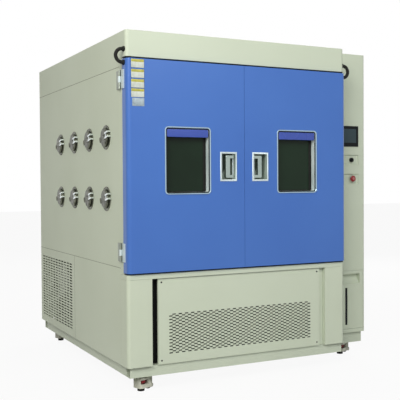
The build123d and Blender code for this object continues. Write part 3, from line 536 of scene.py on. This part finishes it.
right_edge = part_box("roof_cap")[1][0]
post_width, mat_edge = 0.1605, 0.02
# The black mat behind the slots is painted shade.
slabs("slot_shade_mat", [((field[0] - mat_edge, panel_y + 0.008, field[1] - mat_edge),
                    (field[2] + mat_edge, panel_y + 0.0125, field[3] + mat_edge))],
      "cabinet", black_rubber)
# The black sheet behind the gap at the left is painted shade.
slabs("gap_shade_sheet", [((left_edge + post_width, panel_y + 0.050, low[2]),
                      (left_edge + 0.245, panel_y + 0.052, high[2]))],
      "cabinet", black_enamel)
slabs("gap_filler", [((high[0] - 0.001, panel_y + 0.017, low[2]),
                      (right_edge - post_width, panel_y + 0.019, high[2]))],
      "cabinet", cabinet_paint)
print("sheets behind the panel set")

# %% [markdown]
# The rear half of the left side's lower cover is punched with long slots in a straight grid, for
# the condenser's air. It is made from the same tile, laid on a plane of constant X, so nothing
# new is needed. Behind it the condenser fan shows faintly.

# %% Side covers
low, high = (np.array(corner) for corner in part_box("left_lower_panel"))
front_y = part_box("roof_cap")[0][1]
seam_y = front_y + 1.015


def on_left(points):
    """Across runs towards the front, so that the sheet faces left; depth goes in along X."""
    return np.stack([low[0] + points[:, 2], -points[:, 0], points[:, 1]], 1)


field = (-(front_y + 1.850), pan_z + 0.050, -(front_y + 1.072), pan_z + 0.528)
side_slot, side_sheet, half_seam = (0.060, 0.009), 0.002, 0.001
cover = slotted_sheet("side_grille", on_left, (-high[1], low[2], -(seam_y + half_seam), high[2]),
                      field, 11, 24, side_slot, side_sheet, False, cabinet_paint)
start, end = -(seam_y - half_seam), -low[1]
plain = np.array([(start, low[2], 0), (end, low[2], 0), (end, high[2], 0), (start, high[2], 0)])
edges = np.concatenate([plain, plain + (0, 0, fold_depth)])
walls = [[0, 1, 2, 3], [0, 4, 5, 1], [1, 5, 6, 2], [2, 6, 7, 3], [3, 7, 4, 0]]
front_cover = put_mesh("side_cover", on_left(edges), walls, [cabinet_paint], smooth=False)
ride(cover, "cabinet", ["left_lower_panel"])
ride(front_cover, "cabinet", ["left_lower_panel"])
print("side covers from", low.round(3), "to", high.round(3))

# %% [markdown]
# Two sheets never meet without a line. A groove cut into each sheet would be truer and cost many
# faces, so the seams between the covers are thin grey beads that stand a hair proud. Black strips
# lie on the rail under the doors and under the header above them, painted shade that keeps both
# gaps dark.

# %% Seams and shade strips
roof_z, cover_z = pan_z + 1.7855, pan_z + 0.586
x0, x1 = low[0] - 0.0004, low[0] + 0.001
beads = [((x0, low[1] + 0.001, z - 0.0014), (x1, high[1] - 0.001, z + 0.0014))
         for z in (roof_z, cover_z)]
beads.append(((x0, seam_y - 0.0012, low[2]), (x1, seam_y + 0.0012, cover_z - 0.0016)))
slabs("left_seams", beads, "cabinet", seam_grey)
rail_z, header_z = pan_z + 0.551, pan_z + 1.836
x0, x1 = left_edge + 0.006, right_edge - 0.006
y0, y1 = front_y + 0.005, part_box("door_frame")[0][1] - 0.0005
# The black strips in the gaps under and above the doors are painted shade.
slabs("door_gap_shade_strips", [((x0, y0, rail_z + 0.0002), (x1, y1, rail_z + 0.006)),
                         ((x0, y0, header_z - 0.006), (x1, y1, header_z - 0.0002))],
      "cabinet", black_rubber)
print("seams at heights", round(roof_z, 3), round(cover_z, 3))

# %% [markdown]
# Some nodes hold more than one finish: a caster has a cast body, a red adjusting ring and a black
# foot. It could be modelled again from nothing, but its shape is right already. So the node is
# copied, its doubled points are merged, and each face takes a finish from where it lies.

# %% Dressed copies
import bmesh

CAD_SHARP_ANGLE = math.radians(30)


def dressed_copy(node, name, body, finishes, choose, cut=None):
    """Copies a CAD node, merges its doubles and gives each face a finish by its centre. cut is a
    point and a direction: long faces are split there, so that each side can have its own finish."""
    mesh = frame["nodes"][node].data.copy()
    work = bmesh.new()
    work.from_mesh(mesh)
    bmesh.ops.remove_doubles(work, verts=work.verts, dist=1e-6)
    if cut:
        bmesh.ops.bisect_plane(work, geom=work.verts[:] + work.edges[:] + work.faces[:],
                               plane_co=cut[0], plane_no=cut[1])
    work.to_mesh(mesh)
    work.free()
    mesh.materials.clear()
    for given in finishes:
        mesh.materials.append(given)
    centres = np.empty(len(mesh.polygons) * 3)
    mesh.polygons.foreach_get("center", centres)
    picks = np.asarray(choose(centres.reshape(-1, 3)), np.int32)
    mesh.polygons.foreach_set("material_index", picks)
    mesh.polygons.foreach_set("use_smooth", np.ones(len(picks), bool))
    mesh.set_sharp_from_angle(angle=CAD_SHARP_ANGLE)
    mesh.name = name
    piece = bpy.data.objects.new(name, mesh)
    bpy.context.scene.collection.objects.link(piece)
    ride(piece, body, [node])


def caster_faces(points):
    """0 is the cast body, 1 the red ring and its spindle, 2 the rubber foot, told apart by the
    distance from the swivel axis and the height above the floor."""
    near = np.hypot(points[:, 0] - swivel[0], points[:, 1] - swivel[1])
    ring = (near < 0.0245) & (points[:, 2] > 0.0505) & (points[:, 2] < 0.0655)
    foot = (points[:, 2] < 0.0205) & (near < 0.0235)
    return np.where(foot, 2, np.where(ring, 1, 0))


swivels = {joint["name"][:-len("_swivel")]: joint["pos_m"] for joint in frame["joints"]
           if joint["name"].endswith("_swivel")}
for corner, swivel in swivels.items():
    dressed_copy(f"caster_{corner}", f"caster_body_{corner}", f"caster_{corner}",
                 [cast_grey, red_plastic, black_rubber], caster_faces)
print("casters at", {k: [round(v, 3) for v in p[:2]] for k, p in swivels.items()})

# %% [markdown]
# The adjusting ring of each caster is turned with the fingers to lower the foot, so it has
# notches round its rim. They could be cut one by one. Here the ring is a profile spun round the
# swivel axis, and a wave of the angle draws the rim in where a notch is.

# %% Adjusting rings
def knurled_ring(centre, segments=72):
    """A band of radius 27.2 mm with 18 finger notches 1.2 mm deep: the notch is where the cosine of
    18 times the angle falls below -0.2. The profile is (radius, height, 1 where notched)."""
    angle = np.linspace(0, 2 * math.pi, segments, endpoint=False)
    notch = 0.0012 * (np.cos(18 * angle) < -0.2)
    profile = np.array([(0.010, 0.0475, 0), (0.0258, 0.0475, 1), (0.0272, 0.049, 1),
                        (0.0272, 0.0655, 1), (0.0258, 0.067, 1), (0.010, 0.067, 0)])
    radius = profile[:, :1] - notch * profile[:, 2:]
    height = profile[:, 1:2] + 0 * angle
    rings = np.stack([radius * np.cos(angle), radius * np.sin(angle), height], -1)
    faces = grid_faces(len(profile), segments, close_rows=True, close_columns=True)
    return (rings + (centre[0], centre[1], 0)).reshape(-1, 3), faces


for corner, swivel in swivels.items():
    ring = put_mesh(f"caster_ring_{corner}", *knurled_ring(swivel), [red_plastic])
    ride(ring, f"caster_{corner}")
print("adjusting rings", len(swivels))

# %% [markdown]
# A port cap is a dull stainless disc held by two spring bars, which a short bridge joins. The bars
# stand in front of the disc's face, and their tips reach down over its edge, so the distance from
# the wall and from the port's axis tells them apart, with no need to select faces by hand. Only the
# bars' outer part and the bridge are bright steel, a painted highlight; the bars' roots stay as
# dull as the disc.

# %% Port caps
cap_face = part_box("port_cap_1")[0][0] + 0.0057
# From 36 mm out along the cap the bars are bright steel, a painted highlight.
disc_edge, highlight_from, bridge_at = 0.0765, 0.036, 0.044
tilt = math.radians(12)
along = np.array([0, -math.cos(tilt), math.sin(tilt)])
beside = np.array([0, math.sin(tilt), math.cos(tilt)])


def cap_faces(points):
    """1 on the outer part of the spring bars, bright as a painted highlight, 0 on the disc, its hinge
    arm and the bars' roots.
    """
    reach, aside = (points - port) @ along, (points - port) @ beside
    bar = (points[:, 0] < cap_face) | (aside > disc_edge) | (reach > disc_edge)
    return np.where(bar & (reach > highlight_from), 1, 0)


def bridge(port):
    """The cross piece that joins the two bars: a squarish oval of half axes 5.5 and 3.5 mm, each
    the square root of a cosine or sine, carried from bar to bar in the cap's tilted directions. It
    shrinks to 80 % at both ends."""
    angle = np.linspace(0, 2 * math.pi, 16, endpoint=False)
    oval = 0.0055 * np.sign(np.cos(angle)) * abs(np.cos(angle)) ** 0.5
    rise = 0.0035 * np.sign(np.sin(angle)) * abs(np.sin(angle)) ** 0.5
    ends = np.array([-0.0195, -0.019, 0.019, 0.0195])[:, None]
    shrink = np.array([0.8, 1, 1, 0.8])[:, None]
    run = bridge_at + oval * shrink
    points = port * (0, 1, 1) + run[..., None] * along + (ends + 0 * run)[..., None] * beside
    points[..., 0] = cap_face + 0.0005 - rise * shrink
    return points.reshape(-1, 3), grid_faces(4, 16, close_columns=True)


ports = {mount["name"]: mount["pos_m"] for mount in frame["record"]["mounts"]
         if mount["kind"] == "bore"}
for number in range(1, 9):
    port = np.array(ports[f"cable_port_{number}"])
    dressed_copy(f"port_cap_{number}", f"port_lid_{number}", f"port_cap_{number}",
                 [port_steel, bright_steel], cap_faces, (port + highlight_from * along, along))
    points, faces = bridge(port)
    faces = [*faces.tolist(), list(range(16))[::-1], list(range(48, 64))]
    joined = put_mesh(f"port_bridge_{number}", points, faces, [bright_steel])
    ride(joined, f"port_cap_{number}")
print("ports", len(ports))

# %% [markdown]
# Each window has a narrow polished rim, a black seal inside it, and a bright sleeve that goes
# back to the pane. Three pieces could be stacked. One closed profile carried round the opening
# leaves no gap between them, and each stretch of the profile picks its own finish.

# %% Window rims
door_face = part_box("left_door_skin")[0][1]
trim_low, trim_high = (np.array(corner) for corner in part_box("left_window_trim"))
centre_x, centre_z = (trim_low[0] + trim_high[0]) / 2, (trim_low[2] + trim_high[2]) / 2
half_wide, half_high = (trim_high[0] - trim_low[0]) / 2, (trim_high[2] - trim_low[2]) / 2
split_x = (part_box("roof_cap")[0][0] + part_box("roof_cap")[1][0]) / 2
pane_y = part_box("left_window_glass")[0][1]
window_x = {"left": centre_x, "right": 2 * split_x - centre_x}
sleeve = trim_high[1] - door_face
rim = [(0.0, 0.0), (0.0, -0.0035), (0.002, -0.006), (0.0065, -0.006), (0.0088, -0.0035),
       (0.0088, -0.002), (0.0128, -0.0015), (0.015, 0.002), (0.015, sleeve), (0.013, sleeve),
       (0.013, 0.0)]
rim_picks = [0, 0, 0, 0, 0, 1, 1, 2, 2, 2, 2]
for side, x in window_x.items():
    rings = carried_round([(inset, door_face + depth) for inset, depth in rim], x, centre_z,
                          half_wide, half_high, 0.024, 8)
    faces = grid_faces(*rings.shape[:2], close_rows=True, close_columns=True)
    trim = put_mesh(f"{side}_window_rim", rings.reshape(-1, 3), faces,
                    [rim_steel, black_rubber, sleeve_steel], np.repeat(rim_picks, rings.shape[1]))
    ride(trim, f"{side}_door", [f"{side}_window_trim"])
print("window rims", rings.shape, "panes at y", round(pane_y, 4))

# %% [markdown]
# Where the pane meets the sleeve lies a black bead, a black strip stands at both sides of the pane,
# and a blue cover, left plain, hides the lamp across the top. The cover's outer walls and back are
# black, a painted shadow between it and the rim. Scaled cubes would have sharp ends, so all three
# are profiles carried round a rounded rectangle, as the rim is.

# %% Window beads, side strips and lamp covers
inner_wide, inner_high = half_wide - 0.0155, half_high - 0.0155
bead_profile = [(0.0, pane_y), (0.0, pane_y - 0.005), (0.002, pane_y - 0.006),
                (0.004, pane_y - 0.004), (0.004, pane_y)]
strip_profile = [(0.0, pane_y - 0.0002), (0.0, pane_y - 0.001), (0.0005, pane_y - 0.0015)]
strip_inset, strip_half = 0.0115, 0.0075
cover_profile = [(0.0, pane_y - 0.001), (0.0, door_face + 0.003), (0.001, door_face + 0.0012),
                 (0.0025, door_face + 0.001)]
cover_top, cover_half = centre_z + inner_high - 0.0007, 0.0238
for side, x in window_x.items():
    bead = ring_piece(f"{side}_window_bead", bead_profile,
                      (x, centre_z, inner_wide, inner_high, 0.009), [black_rubber])
    ride(bead, f"{side}_door")
    strips = [carried_round(strip_profile, x + sign * (inner_wide - strip_inset), centre_z,
                            strip_half, inner_high - 0.005, 0.001, 3) for sign in (-1, 1)]
    count = strips[0].shape[1]
    quads = grid_faces(3, count, close_columns=True).tolist() + [list(range(2 * count, 3 * count))]
    faces = quads + [[v + 3 * count for v in face] for face in quads]
    side_strip = put_mesh(f"{side}_window_spacer", np.reshape(strips, (-1, 3)), faces, [black_rubber])
    ride(side_strip, f"{side}_door")
    rings = carried_round(cover_profile, x, cover_top - cover_half, inner_wide - 0.0007,
                          cover_half, 0.007)
    count = rings.shape[1]
    faces = [*grid_faces(4, count, close_columns=True).tolist(),
             list(range(3 * count, 4 * count)), list(range(count))[::-1]]
    # The cover's outer walls and back are black, a painted shadow; its front is blue.
    cover = put_mesh(f"{side}_lamp_cover", rings.reshape(-1, 3), faces,
                     [blue_film, black_plastic], [1] * count + [0] * (2 * count) + [0, 1])
    ride(cover, f"{side}_door")
print("lamp covers", count, "points round")

# %% [markdown]
# The pull handles sit in cups pressed into the doors. The cup's lip is bright and its inside
# dull. The same CAD node carries the moving hinge halves, given the lip's bright steel as a painted
# highlight, so its copy is dressed by place, as the casters are.

# %% Handle cups
grip_y = door_face + 0.014
handle_z = sum(corner[2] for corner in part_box("left_handle_grip")) / 2


def fitting_faces(points):
    """0 is the hinge half, bright as a painted highlight, the cup's bright lip and its pin, 1 the dull
    inside of the cup.
    """
    hinge = abs(points[:, 0] - split_x) > 0.7
    lip = points[:, 1] < door_face - 0.0002
    pin = (abs(points[:, 1] - grip_y) < 0.0045) & (abs(points[:, 2] - handle_z) < 0.08)
    return np.where(hinge | lip | pin, 0, 1)


for side in ("left", "right"):
    dressed_copy(f"{side}_door_fittings", f"{side}_fittings", f"{side}_door",
                 [lip_steel, cup_steel], fitting_faces)
print("cups at height", round(handle_z, 3))

# %% [markdown]
# The labels on the left door are left blank. Four have an ochre band over a white field with a
# thin black border, and the lowest is plain grey. They could be painted on by a mask in the
# door's material. A thin plate with rounded corners keeps a crisp edge and stands proud, as a
# sticker does.

# %% Blank labels
def plate(x, z, half_wide, half_high, y, thick, radius=0.002):
    """A thin rounded plate standing proud of y: its outline at y, at the face less a chamfer, and
    the face itself."""
    profile = [(0.0, y), (0.0, y - thick * 0.7), (0.0004, y - thick)]
    rings = carried_round(profile, x, z, half_wide, half_high, radius, 4)
    count = rings.shape[1]
    faces = grid_faces(3, count, close_columns=True).tolist() + [list(range(2 * count, 3 * count))]
    return rings.reshape(-1, 3), faces


PLATE_HEIGHT = (0.0006, 0.00069, 0.00078, 0.00042)


def plates(name, items, finishes, y):
    """Several plates as one piece: items are (x, z, half wide, half high, finish number). The
    finish number also picks the height, so that plates that overlap don't share a plane."""
    points, faces, picks = [], [], []
    for x, z, wide, tall, pick in items:
        more, quads = plate(x, z, wide, tall, y, PLATE_HEIGHT[pick])
        start = sum(len(p) for p in points)
        faces += [[v + start for v in face] for face in quads]
        picks += [pick] * len(quads)
        points.append(more)
    return put_mesh(name, np.concatenate(points), faces, finishes, picks)


label_x, label_half = left_edge + 0.0685, 0.0415
items = []
for top in (1.819, 1.760, 1.702, 1.647):
    z = pan_z + top
    items += [(label_x, z - 0.0255, label_half + 0.0008, 0.0263, 3),
              (label_x, z - 0.0255, label_half - 0.0008, 0.0248, 0),
              (label_x, z - 0.009, label_half - 0.0018, 0.008, 1)]
items.append((label_x + 0.003, pan_z + 1.568, 0.038, 0.0235, 2))
labels = plates("blank_labels", items, [white_film, ochre_film, grey_film, black_plastic],
                door_face)
ride(labels, "left_door")
print("labels", len(items))

# %% [markdown]
# The touch screen shows nothing that could be read: a dim display behind glass, with three small
# lamps below it. The dark bezel is the CAD node, so only one plate and three turned lamps are
# added.

# %% Touch screen
screen_low, screen_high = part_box("touch_screen")
screen_x, screen_z = (screen_low[0] + screen_high[0]) / 2, (screen_low[2] + screen_high[2]) / 2
screen_y = screen_low[1] + 0.0015
display = plates("screen_display", [(screen_x, screen_z + 0.003, 0.0805, 0.0495, 0)],
                 [screen_glass], screen_y)
ride(display, "cabinet")
lamp_places = [(screen_low[0] + 0.030 + 0.012 * k, screen_low[1], screen_low[2] + 0.013)
               for k in range(3)]
lamps = turned_set("screen_lamps", [(0.0, 0.0006), (0.0016, 0.0004), (0.002, 0.0), (0.0, 0.0)],
                   lamp_places, (0, -1, 0), [pale_plastic], 10)
ride(lamps, "cabinet")
print("screen", [round(v, 3) for v in (screen_x, screen_z)])

# %% [markdown]
# The stop button is a red mushroom with a twist cap in its middle; the cap's paler red is a
# painted highlight. A sphere and a cylinder would meet in a hard line, so its whole outline is one
# profile turned about the Y axis, and it stands for the CAD node. Below it, the drawer's level
# window is a black strip behind its slot.

# %% Stop button and level window
stop_low, stop_high = (np.array(corner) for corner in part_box("stop_button"))
stop_x, stop_z = (stop_low[0] + stop_high[0]) / 2, (stop_low[2] + stop_high[2]) / 2
stop_y, stem = stop_low[1], stop_high[1] - stop_low[1]
head = [(0.0, 0.0005), (0.0085, 0.0002), (0.0098, 0.0012), (0.0102, 0.0030), (0.0120, 0.0032),
        (0.0175, 0.0046), (0.0215, 0.0082), (0.0222, 0.0112), (0.0205, 0.0138), (0.0115, 0.0140),
        (0.0110, 0.0142), (0.0109, stem), (0.0, stem)]
points, faces = turned([(r, -y) for r, y in head], (stop_x, stop_y, stop_z), (0, -1, 0), 40)
# The three inner rings take the paler red, a painted highlight; the stem is black.
picks = np.repeat([1, 1, 1, 0, 0, 0, 0, 0, 0, 0, 2, 2], 40)
button = put_mesh("stop_button_head", points, faces, [red_plastic, highlight_red, black_plastic],
                  picks)
ride(button, "stop_button", ["stop_button"])
column_y, drawer_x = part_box("control_column")[0][1], left_edge + 1.759
slabs("level_window", [((drawer_x - 0.012, column_y + 0.0024, pan_z + 0.064),
                        (drawer_x + 0.012, column_y + 0.0044, pan_z + 0.339))],
      "water_drawer", black_plastic)
print("stop button at", [round(v, 3) for v in (stop_x, stop_y, stop_z)])

# %% [markdown]
# The hoses that carry the doors' heater wires are ribbed black rubber. A curve with a bevel would
# give a smooth tube.

# %% Hoses over the hinges
hose_y = sum(corner[1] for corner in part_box("door_conduits")) / 2
upper_z, lower_z, clamp = pan_z + 1.880, pan_z + 1.801, 0.012


def hose_path(count):
    """Points and directions along the hose: out along -X, round a half circle, and back."""
    lead, bend = clamp, (upper_z - lower_z) / 2
    total = 2 * lead + math.pi * bend
    s = np.linspace(0, total, count)
    turn = np.clip((s - lead) / bend, 0, math.pi)
    back = np.maximum(s - lead - math.pi * bend, 0)
    x = left_edge - np.minimum(s, lead) - bend * np.sin(turn) + back
    z = (upper_z + lower_z) / 2 + bend * np.cos(turn)
    heading = np.stack([-np.cos(turn), 0 * turn, -np.sin(turn)], 1)
    return np.stack([x, 0 * x + hose_y, z], 1), heading, s


def hose_points(count=220, segments=18):
    """Radius = 10.6 mm plus a ripple of 0.4 mm, one wave every 4 mm."""
    path, heading, s = hose_path(count)
    radius = 0.0106 + 0.0004 * np.cos(2 * math.pi * s / 0.004)
    outward = np.cross(heading, (0, 1, 0))
    angle = np.linspace(0, 2 * math.pi, segments, endpoint=False)
    ring = np.cos(angle)[:, None, None] * outward + np.sin(angle)[:, None, None] * (0, 1.0, 0)
    return path[:, None] + radius[:, None, None] * ring.transpose(1, 0, 2)


tube = hose_points()
gland = [(0.010, -0.002), (0.016, -0.002), (0.016, 0.006), (0.0135, 0.009), (0.0115, 0.009),
         (0.0115, 0.013), (0.010, 0.013)]
for side, sign in (("left", 1), ("right", -1)):
    shape = tube.reshape(-1, 3).copy()
    if sign < 0:
        shape[:, 0] = 2 * split_x - shape[:, 0]
    faces = grid_faces(*tube.shape[:2], close_columns=True)
    hose = put_mesh(f"{side}_hose", shape, faces if sign < 0 else faces[:, ::-1], [black_rubber])
    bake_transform(hose)
    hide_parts("door_conduits")
    for z, body in ((upper_z, "cabinet"), (lower_z, f"{side}_door")):
        nut = turned_set(f"{side}_gland_{body}", gland, [(shape[0, 0], hose_y, z)],
                         (-sign, 0, 0), [black_rubber], 12)
        ride(nut, body)
print("hose points", tube.shape)

# %% [markdown]
# The studio is a pale floor and an even pale world. Both could be made white with more light, but
# then the pale paint would clip. Instead they show white to the camera, to mirrors and through
# glass by their own colour, with the Light Path node, and the lamps stay at the level that shows
# the paint as it is written.

# %% Floor and world
def white_to_camera(tree, shader, colour, share):
    """Mixes a shader with plain white for camera, glossy and transmission rays."""
    path = tree.nodes.new("ShaderNodeLightPath")
    first, second, limit = (tree.nodes.new("ShaderNodeMath") for _ in range(3))
    first.operation = second.operation = "MAXIMUM"
    limit.operation = "MULTIPLY"
    mix = tree.nodes.new("ShaderNodeMixShader")
    settle(limit, {1: share})
    wire(tree, (path, "Is Camera Ray", first, 0), (path, "Is Glossy Ray", first, 1),
         (first, 0, second, 0), (path, "Is Transmission Ray", second, 1), (second, 0, limit, 0),
         (limit, 0, mix, "Fac"), (shader, 0, mix, 1), (colour, 0, mix, 2))
    return mix


floor_paint = bpy.data.materials.new("pale_floor")
floor_paint.use_nodes = True
tree = floor_paint.node_tree
matte = tree.nodes["Principled BSDF"]
settle(matte, {"Base Color": (0.6, 0.6, 0.6, 1), "Roughness": 0.9})
glow = tree.nodes.new("ShaderNodeEmission")
settle(glow, {"Strength": 1.0})
wire(tree, (white_to_camera(tree, matte, glow, 0.93), 0, tree.nodes["Material Output"], "Surface"))
floor = put_mesh("studio_floor", [(-30, -30, 0), (30, -30, 0), (30, 30, 0), (-30, 30, 0)],
                 [(0, 1, 2, 3)], [floor_paint], smooth=False)

world = bpy.data.worlds.new("studio_world")
bpy.context.scene.world = world
world.use_nodes = True
tree = world.node_tree
even = tree.nodes["Background"]
settle(even, {"Color": (1.0, 0.99, 0.9, 1), "Strength": 0.2})
white = tree.nodes.new("ShaderNodeBackground")
settle(white, {"Color": (1, 1, 1, 1), "Strength": 1.0})
wire(tree, (white_to_camera(tree, even, white, 1.0), 0, tree.nodes["World Output"], "Surface"))
print("world and floor set")

# %% [markdown]
# The camera stands a little below the door handles, to the left of the middle, looking to the
# right. Turning it by hand until the picture fits is slow, so its angles and place come from a fit
# to the chamber's edges. Its directions are the columns of a rotation matrix: right, up and
# backwards. Its place is counted from the shell's lower front left corner, in units of the
# shell's height.

# %% Camera
from mathutils import Matrix, Vector

yaw, pitch, roll = math.radians(26.813), math.radians(-1.256), math.radians(-0.352)
ahead = Vector((math.sin(yaw) * math.cos(pitch), math.cos(yaw) * math.cos(pitch), math.sin(pitch)))
right_hand = Vector((math.cos(yaw), -math.sin(yaw), 0))
upward = right_hand.cross(ahead)
across = right_hand * math.cos(roll) + upward * math.sin(roll)
upward = upward * math.cos(roll) - right_hand * math.sin(roll)
focal_pixels, picture_pixels, shell_height = 760.37, 400, 1.990
lens = bpy.data.cameras.new("camera")
lens.sensor_width = 36
lens.lens = lens.sensor_width * focal_pixels / picture_pixels
lens.clip_end = 100
camera = bpy.data.objects.new("camera", lens)
bpy.context.scene.collection.objects.link(camera)
turn = Matrix((across, upward, -ahead)).transposed().to_4x4()
corner = Vector((left_edge, front_y, pan_z))
stand = corner + shell_height * Vector((-0.81486, -2.09065, 0.54779))
camera.matrix_world = Matrix.Translation(stand) @ turn
bpy.context.scene.camera = camera
print("camera at", [round(v, 3) for v in camera.matrix_world.translation])

# %% [markdown]
# The light is plain and soft: a large key lamp at the upper left, a weaker fill in front, high
# enough that the doors don't mirror it, and one behind for the views from the back. A sun or
# spots would give hard shadows, and large squares give soft ones. The Standard view shows colours
# as they are written.

# %% Lamps
def soft_lamp(name, place, aim, size, power, colour):
    """A square area lamp at place, turned so that it shines towards aim."""
    lamp = bpy.data.lights.new(name, "AREA")
    lamp.size, lamp.energy, lamp.color = size, power, colour
    held = bpy.data.objects.new(name, lamp)
    bpy.context.scene.collection.objects.link(held)
    heading = (Vector(aim) - Vector(place)).to_track_quat("-Z", "Y")
    held.matrix_world = Matrix.Translation(place) @ heading.to_matrix().to_4x4()


soft_lamp("key_lamp", (-4.05, -4.8, 4.5), (0, 0, 1.1), 3.2, 295, (1.0, 0.99, 0.94))
soft_lamp("fill_lamp", (0.9, -6.2, 4.5), (0, 0, 1.2), 2.5, 110, (0.94, 0.98, 1.0))
soft_lamp("back_lamp", (4.2, 5.2, 3.6), (0, 0, 1.1), 3.5, 230, (1.0, 0.99, 0.96))
bpy.context.scene.view_settings.view_transform = "Standard"
print("lamps", len(bpy.data.lights))
